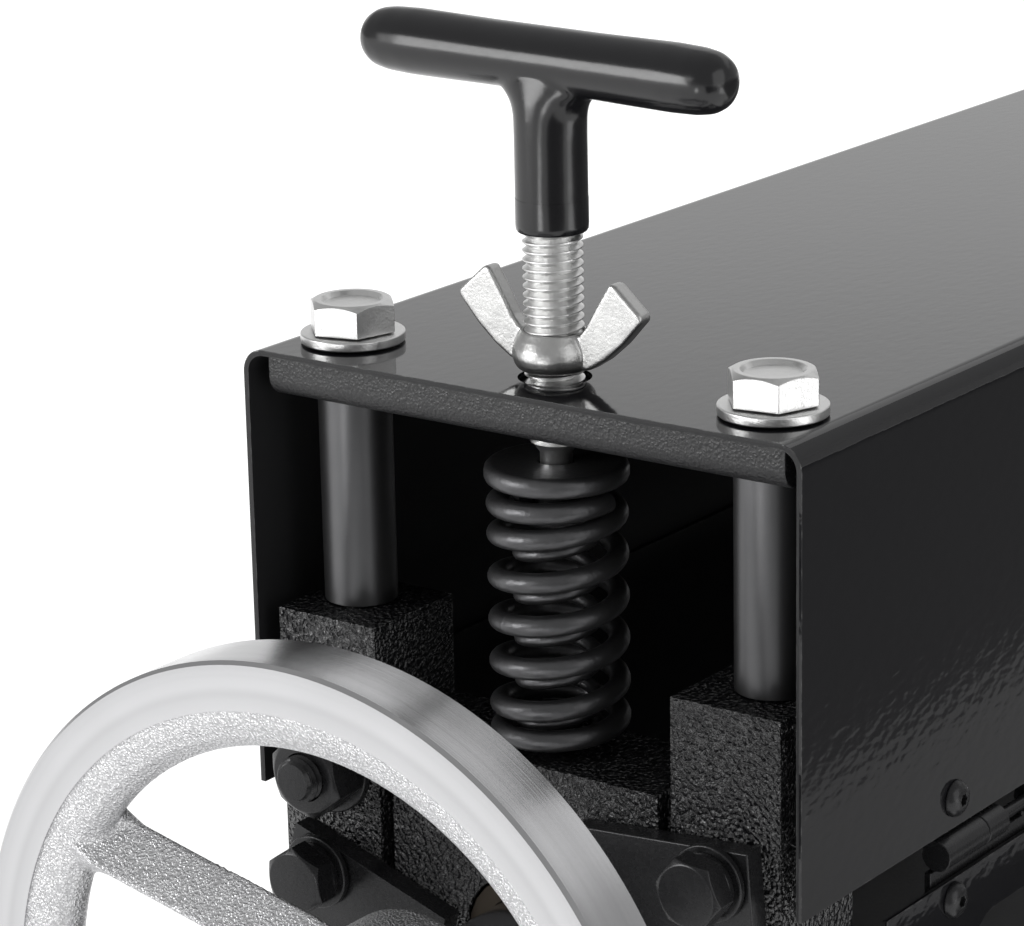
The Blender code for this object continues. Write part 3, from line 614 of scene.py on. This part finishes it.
# ---------------------------------------------------------------- camera, floor and light
def build_camera():
    """A long lens that looks down at the front end from the right, with a slight roll."""
    around, above, roll = math.radians(36.82), math.radians(16.71), math.radians(-1.23)
    spot = Matrix.Translation((0.41113, -0.71586, 0.41881))
    back = Vector((math.sin(around) * math.cos(above), -math.cos(around) * math.cos(above), math.sin(above)))
    right = Vector((math.cos(around), math.sin(around), 0))
    up = back.cross(right)
    across = math.cos(roll) * right + math.sin(roll) * up
    upright = math.cos(roll) * up - math.sin(roll) * right
    data = bpy.data.cameras.new("camera")
    data.lens = 131.6
    data.sensor_width = 36.0
    data.clip_start = 0.05
    camera = bpy.data.objects.new("camera", data)
    camera.matrix_world = spot @ Matrix((across, upright, back)).transposed().to_4x4()
    bpy.context.scene.collection.objects.link(camera)
    bpy.context.scene.camera = camera


def area_light(name, spot, target, size, power):
    data = bpy.data.lights.new(name, "AREA")
    data.shape = "RECTANGLE"
    data.size, data.size_y = size
    data.energy = power
    light = bpy.data.objects.new(name, data)
    light.location = spot
    light.rotation_euler = (Vector(target) - Vector(spot)).to_track_quat("-Z", "Y").to_euler()
    bpy.context.scene.collection.objects.link(light)
    return light


def card(name, outline, low, high, material):
    """A card that lights or darkens reflections and nothing else."""
    obj = piece(name, slab(outline, low, high), None, material)
    obj.visible_camera = obj.visible_diffuse = obj.visible_shadow = False


def matt(name, shade):
    return finish(name, (shade, shade, shade), 0.9)


def glow(name, strength, fade=None):
    """A lit card's material. Fade is an axis, the two places it changes between and the last strength."""
    white = (1, 1, 1, 1)
    material, tree, shader = finish(name, (0, 0, 0), 1.0, Emission_Color=white, Emission_Strength=strength)
    if fade:
        axis, start, stop, last = fade
        inputs = {"Value": coordinate(tree, place(tree), axis), "From Min": start, "From Max": stop}
        inputs.update({"To Min": strength, "To Max": last})
        step = add(tree, "ShaderNodeMapRange", inputs)
        tree.links.new(step.outputs["Result"], shader.inputs["Emission Strength"])
    return material


def build_studio():
    world = bpy.data.worlds.new("studio")
    world.use_nodes = True
    bpy.context.scene.world = world
    background = world.node_tree.nodes["Background"]
    background.inputs["Color"].default_value = (1.0, 1.0, 1.0, 1.0)
    background.inputs["Strength"].default_value = 0.42
    bm = bmesh.new()
    bmesh.ops.create_grid(bm, x_segments=1, y_segments=1, size=9.0)
    material, _, shader = matt("pale_floor", 0.22)
    shader.inputs["Emission Color"].default_value = (1, 1, 1, 1)
    shader.inputs["Emission Strength"].default_value = 0.93
    piece("floor", bm, None, material)
    dark, grey = matt("dark_card", 0.10)[0], matt("grey_card", 0.30)[0]
    low, high = 1 * MM, 2 * MM
    card("far_card", rectangle((0.28, 5.0), (0.16, 6.0)), low, high, dark)
    card("near_card", [(0.26, -0.62), (0.80, -0.34), (4.0, -1.3), (2.6, -4.0), (1.4, -4.0)], low, high, dark)
    card("side_card", rectangle((0.10, 0.279), (0.02, 6.0)), low, high, grey)
    slanting = [(-0.45, 2.95), (-3.4, 1.25), (-3.41, 1.26), (-0.46, 2.96)]
    card("back_light", slanting, 0.01, 1.7, glow("back_light", 0.85, ("Z", 0.9, 1.7, 0.42)))
    area_light("overhead", (-0.3, 0.6, 1.9), (0, 0, 0.15), (1.8, 1.8), 40).visible_glossy = False
    brighter_outward = glow("front_glow", 3.4, ("Y", -0.85, -1.0, 8.0))
    card("front_glow", rectangle((-0.13, 0.07), (-1.40, -0.75)), low, high, brighter_outward)
    card("side_glow", rectangle((0.60, 1.35), (-0.18, 0.11)), low, high, glow("side_glow", 3.2))
    card("high_back", rectangle((-1.6, 1.6), (1.8, 1.81)), 1.25, 2.2, glow("high_back_glow", 0.85))
    area_light("front_left", (-1.2, -1.7, 0.50), (0, -0.1, 0.15), (0.9, 0.8), 17)
    area_light("right", (1.6, -0.2, 0.7), (0, 0, 0.15), (1.4, 1.4), 6)


# ---------------------------------------------------------------- pressure screw, handle and wing nut
def build_screw(end):
    y = PLANE[end]
    low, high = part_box(f"{end}_pressure_screw")
    shank = thread(high.x, SCREW_PITCH, CAP_TOP + 4.2 * MM, high.z - 0.2 * MM)
    neck, chamfer = 3.2 * MM, 0.5 * MM
    profile = [(0, low.z), (neck - chamfer, low.z), (neck, low.z + chamfer), (neck, CAP_TOP + 1.8 * MM)]
    profile += [(4.9 * MM, CAP_TOP + 4.3 * MM), (0, CAP_TOP + 4.3 * MM)]
    tip = spun(profile, 48)
    piece(
        f"{end}_screw", shift(merged(shank, tip), y=y), f"{end}_screw", ZINC, [f"{end}_pressure_screw"],
    )


def build_grip(end):
    """A steel tee dipped in vinyl: the coat swells along the bar and fillets where the stem meets it."""
    y = PLANE[end]
    low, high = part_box(f"{end}_t_grip")
    askew = math.radians(5)
    bar_radius = 6.5 * MM
    bar_z = high.z - bar_radius
    stem_low = low.z
    half = (high.x - low.x) / 2 / math.cos(askew)
    # Radius of the bar and distance from its end, in millimetres.
    ends = [(0, 0), (2.6, 0.40), (4.6, 1.7), (5.8, 3.9), (6.3, 7.2), (6.5, 13.0), (6.4, 24.0), (6.3, 32.0)]
    swell = [(r * MM, inset * MM - half) for r, inset in ends]
    profile = [*swell, *[(r, -z) for r, z in reversed(swell)]]
    bar = spun(profile, 40, Matrix.Rotation(QUARTER, 4, "Y"))
    shift(bar, x=-1.5 * MM, z=bar_z)
    # Half width along X and along Y of the stem, and height from the bar's middle, in millimetres.
    waist = [
        (7.05, 7.05, -40.0), (7.05, 7.05, -14.0), (7.2, 7.0, -10.5), (7.9, 6.85, -8.4), (9.2, 6.7, -6.9),
        (11.0, 6.5, -5.6), (11.5, 6.2, -3.0),
    ]
    flare = [(wide * MM, bar_z + z * MM) for wide, deep, z in waist]
    stem = spun([(0, bar_z - 40 * MM), *flare, (0, bar_z - 3 * MM)], 64)
    for vert in stem.verts:
        wide, deep, z = min(waist, key=lambda ring: abs(bar_z + ring[2] * MM - vert.co.z))
        vert.co.y *= deep / wide
    bm = fused_soft([bar, stem], 0.50 * MM, 9)
    keep = bm.verts[:] + bm.edges[:] + bm.faces[:]
    bmesh.ops.bisect_plane(
        bm, geom=keep, plane_co=(0, 0, stem_low + 6 * MM), plane_no=(0, 0, -1), clear_outer=True
    )
    bmesh.ops.holes_fill(bm, edges=[e for e in bm.edges if e.is_boundary])
    # Radius and height above the stem's lower end, in millimetres.
    lip = [
        (6.15, 6.5), (6.15, 0.5), (6.30, 0.1), (6.60, 0), (6.75, 0.1), (7.0, 0.5), (7.08, 1.5), (7.08, 6.5)
    ]
    merged(bm, spun([(r * MM, stem_low + z * MM) for r, z in lip], 64))
    turn(bm, -askew)
    piece(f"{end}_grip", shift(bm, y=y), f"{end}_screw", VINYL, [f"{end}_t_grip"], 60)


def build_wing_nut(end):
    """A pressed wing nut: a fat rounded collar with two flat wings that spread as they rise."""
    y = PLANE[end]
    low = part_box(f"{end}_wing_nut")[0].z
    # Distance from the axis and height, in millimetres.
    collar = [
        (0, 0), (6.2, 0), (7.1, 0.35), (7.9, 1.5), (8.25, 3.0), (8.05, 4.6), (7.3, 6.2),
        (6.6, 7.3), (6.4, 7.8), (0, 7.8),
    ]
    body = spun([(r * MM, low + z * MM) for r, z in collar], 64)
    wing = [
        (4.0, 3.0), (7.0, 0.6), (9.4, 1.2), (13.0, 3.5), (17.0, 7.0), (21.6, 12.2), (21.4, 13.4),
        (15.4, 18.7), (14.2, 18.8), (11.2, 14.0), (8.6, 9.6), (6.9, 7.6), (4.0, 7.0),
    ]
    wings = []
    for half_turn in (0, math.pi):
        bm = slab([(x * MM, low + z * MM) for x, z in wing], -1.9 * MM, 1.9 * MM, "Y")
        round_edges(bm, 0.45 * MM, 2)
        wings.append(turn(bm, half_turn))
    bm = fused_soft([body, *wings], 0.3 * MM, 3)
    bm = boolean(bm, [rod(6.0 * MM, low - MM, low + 9 * MM, 48)], "DIFFERENCE")
    piece(f"{end}_wings", shift(bm, y=y), f"{end}_wing", DULL_ZINC, [f"{end}_wing_nut"], 50)


# ---------------------------------------------------------------- springs and cap
def spring_height(turns, wire, open_turns, top, low):
    """Height of the wire after so many turns from the top. One turn at each end is closed up."""
    closed_pitch = 1.04 * 2 * wire
    opened = min(max(turns - 1, 0), open_turns)
    pitch = (top - low - 2 * wire - 2 * closed_pitch) / open_turns
    return top - wire - (turns - opened) * closed_pitch - opened * pitch


def coil(wire, radius, open_turns, start, top, low, first, last):
    """The wire between two shares of its turns, swept round the coil and closed at both ends."""
    turns, sides, per_turn = open_turns + 2, 18, 48
    steps = round((last - first) * turns * per_turn)

    def height(share):
        return spring_height(share * turns, wire, open_turns, top, low)

    bm = bmesh.new()
    ring = bmesh.ops.create_circle(bm, cap_ends=False, segments=sides, radius=wire)["verts"]
    bmesh.ops.rotate(bm, cent=(0, 0, 0), matrix=Matrix.Rotation(QUARTER, 3, "X"), verts=ring)
    bmesh.ops.translate(bm, vec=(radius, 0, height(first)), verts=ring)
    swing = Matrix.Rotation(start - math.tau * first * turns, 3, "Z")
    bmesh.ops.rotate(bm, cent=(0, 0, 0), matrix=swing, verts=ring)
    edges = bm.edges[:]
    bmesh.ops.contextual_create(bm, geom=edges)
    before = first
    for step in range(1, steps + 1):
        share = first + (last - first) * step / steps
        made = bmesh.ops.extrude_edge_only(bm, edges=edges)["geom"]
        ring = [v for v in made if isinstance(v, bmesh.types.BMVert)]
        edges = [e for e in made if isinstance(e, bmesh.types.BMEdge)]
        swing = Matrix.Rotation(-math.tau * (share - before) * turns, 3, "Z")
        bmesh.ops.rotate(bm, cent=(0, 0, 0), matrix=swing, verts=ring)
        bmesh.ops.translate(bm, vec=(0, 0, height(share) - height(before)), verts=ring)
        before = share
    bmesh.ops.contextual_create(bm, geom=edges)
    bmesh.ops.recalc_face_normals(bm, faces=bm.faces)
    return bm


def build_springs(end):
    """Each spring in two halves: the upper and the lower half of its turns."""
    y = PLANE[end]
    low, top = (corner.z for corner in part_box(f"{end}_spring"))
    for node, wire, radius, open_turns, start in (
        ("spring", 2.15 * MM, 11.85 * MM, 4.6, 0.0),
        ("inner_spring", 1.5 * MM, 7.5 * MM, 5.06, math.radians(251.0)),
    ):
        for half, first, last, other, rests in (
            ("upper", 0.0, 0.5, f"{end}_cap", top), ("lower", 0.5, 1.0, "upper_bearings", low),
        ):
            bm = coil(wire, radius, open_turns, start, top, low, first, last)
            shift(bm, y=y)
            obj = piece(f"{end}_{node}_{half}", bm, None, SPRING_STEEL, [f"{end}_{node}"], 60)
            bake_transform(obj)


def build_cap(end):
    """A turned cap: a seat for the screw's tip, a rounded flange and a spigot inside the inner spring."""
    # Radius and depth below the cap's top, in millimetres.
    outline = [
        (0, 3.3), (3.5, 3.3), (3.5, 0.4), (3.9, 0), (12.6, 0), (13.5, 0.25), (14.1, 0.9), (14.3, 1.8),
        (14.25, 2.8), (13.9, 3.6), (13.2, 4.1), (5.0, 4.1), (5.0, 9.7), (4.6, 10.1), (0, 10.1),
    ]
    bm = spun([(r * MM, CAP_TOP - depth * MM) for r, depth in outline], 80)
    piece(
        f"{end}_cap", shift(bm, y=PLANE[end]), f"{end}_cap", SPRING_STEEL, [f"{end}_spring_cap"],
    )


# ---------------------------------------------------------------- crosshead, posts and bolts
def build_crosshead(end):
    y = PLANE[end]
    low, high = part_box(f"{end}_crosshead")
    half = Vector((high.x, (high.y - low.y) / 2, 0))
    bm = block(Vector((0, 0, low.z)) - half, Vector((0, 0, high.z)) + half)
    bottom = [e for e in bm.edges if all(abs(v.co.z - low.z) < 1e-6 for v in e.verts)]
    along_x = [e for e in bottom if abs(e.verts[0].co.y - e.verts[1].co.y) < 1e-6]
    bevel(bm, along_x, 4.2 * MM, 8)
    hole = rod(SCREW_HOLE, low.z - MM, high.z + MM, 48)
    bm = round_edges(boolean(bm, [hole], "DIFFERENCE"), 0.45 * MM, 2)
    piece(f"{end}_bar", shift(bm, y=y), "frame", BAR, [f"{end}_crosshead"])
    for number, x in enumerate((-BOLT_X, BOLT_X), 1):
        post_low, post_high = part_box(f"{end}_post_{number}")
        radius = (post_high.x - post_low.x) / 2
        bm = round_edges(tube(M10_BORE, radius, post_low.z, post_high.z, 72), 0.3 * MM, 2)
        piece(
            f"{end}_post_{number}_steel", shift(bm, x=x, y=y), "frame", POST_STEEL, [f"{end}_post_{number}"],
        )
        w_low, w_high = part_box(f"{end}_washer_{number}")
        bm = washer(M10_BORE, (w_high.x - w_low.x) / 2, w_low.z, w_high.z)
        piece(
            f"{end}_washer_{number}_plated", shift(bm, x=x, y=y), "frame", ZINC, [f"{end}_washer_{number}"],
        )
        b_low, b_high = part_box(f"{end}_crosshead_bolt_{number}")
        turned_by = math.radians(44.6 if number == 1 else 39.0)
        bm = hex_head(M10_FLATS, w_high.z + GAP, b_high.z, 0.9 * MM, turned_by)
        merged(bm, thread(*M10, b_low.z, w_high.z + 2 * GAP, 24))
        piece(
            f"{end}_bolt_{number}", shift(bm, x=x, y=y), "frame", ZINC, [f"{end}_crosshead_bolt_{number}"],
        )


# ---------------------------------------------------------------- cover, guard and hinges
def build_cover():
    """One folded sheet, with a generous bend along each upper edge and a burr-free rounded rim."""
    bend, sheet = 5 * MM, 1.2 * MM
    bolt_hole, screw_hole = 5.5 * MM, 7.25 * MM
    low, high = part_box("cover")
    bm = block(low, high)
    gone = [f for f in bm.faces if abs(f.normal.y) > 0.9 or f.normal.z < -0.9]
    bmesh.ops.delete(bm, geom=gone, context="FACES")
    bends = [e for e in bm.edges if len(e.link_faces) == 2]
    bevel(bm, bends, bend, 16)
    bmesh.ops.recalc_face_normals(bm, faces=bm.faces)
    top_face = max(bm.faces, key=lambda f: f.calc_center_median().z)
    if top_face.normal.z < 0:
        bmesh.ops.reverse_faces(bm, faces=bm.faces)
    bmesh.ops.solidify(bm, geom=bm.faces, thickness=sheet)
    holes = []
    for end in ENDS:
        for x, radius in ((-BOLT_X, bolt_hole), (BOLT_X, bolt_hole), (0, screw_hole)):
            holes.append(shift(rod(radius, high.z - 3 * MM, high.z + MM), x=x, y=PLANE[end]))
    bm = round_edges(tidy(boolean(bm, holes, "DIFFERENCE")), 0.22 * MM, 2, 50)
    piece("cover_sheet", bm, "frame", SHEET, ["cover"], 50)


def button_screw(x, y, z):
    """A low domed screw head with a six-lobed socket, facing away from the middle along X."""
    profile = [(0, 0), (3.8, 0), (3.8, 0.35), (3.5, 1.1), (2.8, 1.75), (1.9, 2.1), (0, 2.2)]
    head = spun([(r * MM, h * MM) for r, h in profile], 48)
    socket = bmesh.new()
    bmesh.ops.create_cone(
        socket, cap_ends=True, segments=12, radius1=1.45 * MM, radius2=1.45 * MM, depth=2.0 * MM
    )
    between_lobes = 0.74
    for number, vert in enumerate(sorted(socket.verts, key=lambda v: math.atan2(v.co.y, v.co.x))):
        if (number // 2) % 2:
            vert.co.xy *= between_lobes
    shift(socket, z=1.9 * MM)
    bm = round_edges(tidy(boolean(head, [socket], "DIFFERENCE")), 0.08 * MM, 1, 50)
    turn(bm, math.copysign(QUARTER, x), "Y")
    return shift(bm, x=x, y=y, z=z)


def build_hinges():
    """Each hinge's two leaves, with two screws through each."""
    outer_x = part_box("cover")[1].x + 0.05 * MM
    axis_z = TOP - 97.1 * MM
    first_screw, between_screws = 41.5 * MM, 40.5 * MM
    for end, side in ENDS.items():
        for node, body in ((f"{end}_hinge_cover_leaf", "frame"), (f"{end}_hinge_guard_leaf", "guard")):
            bm = copy_of(node, 0.15 * MM, 1, 40)
            piece(f"{node}_steel", bm, body, OIL_BLACK, [node], 35)
        start = PLANE[end] - side * first_screw
        for number, y in enumerate((start, start - side * between_screws), 1):
            for leaf, body, rise in (("cover", "frame", 10.4 * MM), ("guard", "guard", -11.4 * MM)):
                head = button_screw(outer_x, y, axis_z + rise)
                piece(f"{end}_{leaf}_screw_{number}", head, body, OIL_BLACK, ())


def build_guards():
    piece("guard_sheet", copy_of("guard", 0.22 * MM, 2), "guard", SHEET, ["guard"], 50)
    piece(
        "apron_sheet", copy_of("feed_apron", 0.22 * MM, 2), "frame", SHEET, ["feed_apron"], 50
    )
    outer_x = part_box("cover")[0].x - 0.05 * MM
    for number, y in enumerate((-0.110, -0.035, 0.090, 0.165), 1):
        head = button_screw(outer_x, y, TOP - 86 * MM)
        piece(f"apron_screw_{number}", head, "frame", OIL_BLACK, ())


# ---------------------------------------------------------------- castings and the fasteners on them
def build_castings():
    for end in ENDS:
        for name, node, rounding, body, material, slot in (
            ("frame_casting", "end_frame", 0.6 * MM, "frame", CAST, "cast_paint"),
            ("block_casting", "bearing_block", 0.6 * MM, "upper_bearings", CAST, "cast_paint"),
            ("foot", "foot_strip", 1.2 * MM, "frame", RUBBER, "rubber"),
        ):
            bm = copy_of(f"{end}_{node}", rounding, 3)
            piece(f"{end}_{name}", bm, body, material, [f"{end}_{node}"])
    piece(
        "base_plate_painted", copy_of("base_plate", 1.0 * MM, 3), "frame", CAST, ["base_plate"]
    )


def build_keepers(end, side):
    """Two plates that hold the bearing block in, each under a bolt with two stacked washers."""
    face = PLANE[end] + side * (HALF_FRAME + GAP)
    plate = 5.0 * MM + GAP
    lay = LAY_ON_Y if side < 0 else Matrix.Rotation(-QUARTER, 4, "X")
    for name, x, drop, turned_by in (
        ("right", 48.5 * MM, 87.1 * MM, 0.4), ("left", -47.6 * MM, 107.2 * MM, 0.1),
    ):
        node = f"{end}_{name}_keeper"
        piece(f"{node}_plate", copy_of(node, 0.35 * MM, 2), "frame", OIL_BLACK, [node])
        head = merged(
            hex_head(M8_FLATS, 3.3 * MM, 8.5 * MM, 0.0, turned_by),
            washer(M8_BORE, 7.8 * MM, 0.0, 1.6 * MM),
            washer(M8_BORE, 6.4 * MM, 1.6 * MM, 3.3 * MM),
            thread(*M8, -16 * MM, 3.4 * MM, 24),
        )
        bmesh.ops.transform(head, matrix=lay, verts=head.verts)
        shift(head, x=x, y=face + side * plate, z=TOP - drop)
        piece(f"{node}_hex_bolt", head, "frame", OIL_BLACK, [f"{node}_bolt"])


def build_stud():
    face = PLANE["front"] - HALF_FRAME - GAP
    spot = {"x": -47.4 * MM, "y": face, "z": TOP - 85.5 * MM}
    bolt = thread(*M10, -13 * MM, 12.2 * MM)
    tip = [(0, 11.9 * MM), (4.3 * MM, 11.9 * MM), (3.8 * MM, 13.0 * MM), (0, 13.0 * MM)]
    merged(bolt, spun(tip, 48))
    bmesh.ops.transform(bolt, matrix=LAY_ON_Y, verts=bolt.verts)
    piece("front_stud_threaded", shift(bolt, **spot), "frame", OIL_BLACK, ["front_stud"])
    hexagon = hex_head(M10_FLATS, 2.0 * MM, 9.6 * MM, 0.0, 0.2)
    bore = rod(5.2 * MM, 0, 11 * MM, 48)
    nut = merged(boolean(hexagon, [bore], "DIFFERENCE"), washer(M10_BORE, 10.0 * MM, 0, 2.0 * MM))
    bmesh.ops.transform(nut, matrix=LAY_ON_Y, verts=nut.verts)
    piece("front_stud_hex_nut", shift(nut, **spot), "frame", OIL_BLACK, ["front_stud_nut"])


def build_base_bolts():
    """The bolts that hold each end frame's flanges to the base plate."""
    flange = 12 * MM
    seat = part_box("front_end_frame")[0].z + flange
    washer_top = seat + 1.6 * MM
    for end in ENDS:
        for number, x in enumerate((-70 * MM, 70 * MM), 1):
            bm = merged(
                hex_head(M8_FLATS, washer_top, seat + 6.9 * MM, 0.0, 0.3 * number),
                washer(M8_BORE, 8.0 * MM, seat + 0.05 * MM, washer_top),
                thread(*M8, seat - 19 * MM, seat + 1.7 * MM, 24),
            )
            piece(
                f"{end}_base_bolt_{number}", shift(bm, x=x, y=PLANE[end]), "frame", OIL_BLACK, (),
            )


# ---------------------------------------------------------------- rollers, bushes, bed and felt
def build_rollers():
    shoulder = 15.1 * MM
    barrel = (PLANE["front"] + shoulder, PLANE["rear"] - shoulder)
    journal, radius = 10 * MM, 25 * MM
    for name, steel, axis_z in (
        ("upper_roller", UPPER_STEEL, UPPER_AXIS), ("lower_roller", LOWER_STEEL, LOWER_AXIS),
    ):
        low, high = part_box(name)
        profile = [
            (0, -high.y), (journal, -high.y), (journal, -barrel[1]), (radius, -barrel[1]),
            (radius, -barrel[0]), (journal, -barrel[0]), (journal, -low.y), (0, -low.y),
        ]
        bm = round_edges(spun(profile, 128, LAY_ON_Y), 0.8 * MM, 2, 50)
        piece(f"{name}_steel", shift(bm, z=axis_z), name, steel, [name])
    for end in ENDS:
        for level, body in (("upper", "upper_bearings"), ("lower", "frame")):
            node = f"{end}_{level}_bush"
            piece(f"{node}_bronze", copy_of(node, 0.3 * MM, 2, 45), body, BRONZE, [node])


def build_bed():
    """The bed, with rounded corners, and a felt blanket whose upper face isn't quite level."""
    bm = block(*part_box("bed_plate"))
    upright = [e for e in bm.edges if abs(e.verts[0].co.z - e.verts[1].co.z) > MM]
    corner, trim, waviness = 3 * MM, 0.4 * MM, 0.10 * MM
    bevel(bm, upright, corner, 6)
    piece(
        "bed_plate_ground", round_edges(bm, 0.5 * MM, 2, 50), "bed", BED_STEEL, ["bed_plate"]
    )
    low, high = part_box("felt_blanket")
    width, length, thick = high.x - low.x, high.y - low.y, high.z - low.z
    bm = bmesh.new()
    bmesh.ops.create_grid(bm, x_segments=132, y_segments=98, size=0.5)
    bmesh.ops.scale(bm, vec=(width - trim, length - trim, 1), verts=bm.verts)
    for vert in bm.verts:
        broad = math.sin(vert.co.x * 61.0 + 1.3) * math.sin(vert.co.y * 47.0 + 0.4)
        fine = math.sin(vert.co.x * 143.0) * math.sin(vert.co.y * 171.0)
        vert.co.z = waviness * (broad + 0.6 * fine)
    made = bmesh.ops.extrude_face_region(bm, geom=bm.faces[:], use_keep_orig=True)
    lower = [v for v in made["geom"] if isinstance(v, bmesh.types.BMVert)]
    for vert in lower:
        vert.co.z = 0.0
    bmesh.ops.translate(bm, vec=(0, 0, -(thick - 0.3 * MM)), verts=lower)
    tidy(bm)
    shift(bm, x=(low.x + high.x) / 2, y=(low.y + high.y) / 2, z=high.z - 0.2 * MM)
    obj = piece("felt", round_edges(bm, 0.7 * MM, 3, 60), "bed", FELT, ["felt_blanket"], 60)


# ---------------------------------------------------------------- handwheel
def ridged_arm():
    """A spoke with a ridge along its front, and a flat facet where the ridge runs out on the rim."""
    # Distance from the axis, depth of the ridge, half width and depth of the back, in millimetres.
    stations = [(12.0, 18.6, 8.6, 29.0), (24.0, 15.6, 8.0, 25.9), (58.6, 1.5, 7.5, 11.8)]
    rings = []
    for x, ridge, half, back in stations:
        shoulder = ridge + 9.6
        rings.append(
            [(x, -half, back), (x, -half, shoulder), (x, 0, ridge), (x, half, shoulder), (x, half, back)]
        )
    rings.append([(68.0, -7.4, 11.8), (68.0, -7.4, 4.2), (66.4, 0, 1.2), (68.0, 7.4, 4.2), (68.0, 7.4, 11.8)])
    bm = bmesh.new()
    rows = [[bm.verts.new([value * MM for value in spot]) for spot in ring] for ring in rings]
    for here, after in zip(rows, rows[1:]):
        for number in range(5):
            beyond = (number + 1) % 5
            bm.faces.new((here[number], here[beyond], after[beyond], after[number]))
    bm.faces.new(rows[0])
    bm.faces.new(rows[-1])
    bmesh.ops.recalc_face_normals(bm, faces=bm.faces)
    return round_edges(bm, 0.4 * MM, 2)


def build_handwheel():
    """A sand-cast wheel with a bright band turned on the front and round the outside of its rim."""
    face_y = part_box("handwheel")[0].y
    spokes, spoke_turn = 3, math.radians(150.0)
    # Radius and depth behind the wheel's face, in millimetres.
    ring = [
        (79.6, 0.5), (79.6, 14.2), (78.6, 14.9), (73.0, 14.9), (68.2, 14.0), (64.6, 11.6), (62.5, 8.6),
        (62.0, 6.6), (62.6, 4.4), (64.6, 2.3), (67.6, 1.1), (71.0, 0.35),
    ]
    parts = [spun([(r * MM, z * MM) for r, z in ring], 128)]
    hub = [
        (0, 16.2), (16.4, 16.2), (19.0, 16.8), (20.2, 18.4),
        (20.5, 20.6), (20.5, 35.0), (19.4, 36.7), (0, 36.7),
    ]
    parts.append(spun([(r * MM, z * MM) for r, z in hub], 64))
    for number in range(spokes):
        parts.append(turn(ridged_arm(), number * math.tau / spokes))
    casting = fused_soft(parts, 0.55 * MM, 1)
    casting = boolean(casting, [rod(10.2 * MM, 14 * MM, 39 * MM)], "DIFFERENCE")
    skin = [(70.5, 0), (79.3, 0), (80, 0.7), (80, 14.2), (79.2, 15), (78, 15), (78, 3), (70.5, 3)]
    band = spun([(r * MM, z * MM) for r, z in skin], 192)
    stand = Matrix(((1, 0, 0, 0), (0, 0, 1, 0), (0, 1, 0, 0), (0, 0, 0, 1)))
    for name, bm, material, angle in (
        ("handwheel_casting", casting, WHEEL_CAST, 60), ("handwheel_band", band, RIM_STEEL, 30),
    ):
        turn(bm, spoke_turn)
        bmesh.ops.transform(bm, matrix=stand, verts=bm.verts)
        bmesh.ops.reverse_faces(bm, faces=bm.faces)
        shift(bm, y=face_y, z=UPPER_AXIS)
        piece(name, bm, "upper_roller", material, ["handwheel"], angle)


build_camera()
build_studio()
for end_name, end_side in ENDS.items():
    build_screw(end_name)
    build_grip(end_name)
    build_wing_nut(end_name)
    build_springs(end_name)
    build_cap(end_name)
    build_crosshead(end_name)
    build_keepers(end_name, end_side)
build_cover()
build_hinges()
build_guards()
build_castings()
build_stud()
build_base_bolts()
build_rollers()
build_bed()
build_handwheel()

bpy.context.scene.view_settings.view_transform = "Standard"
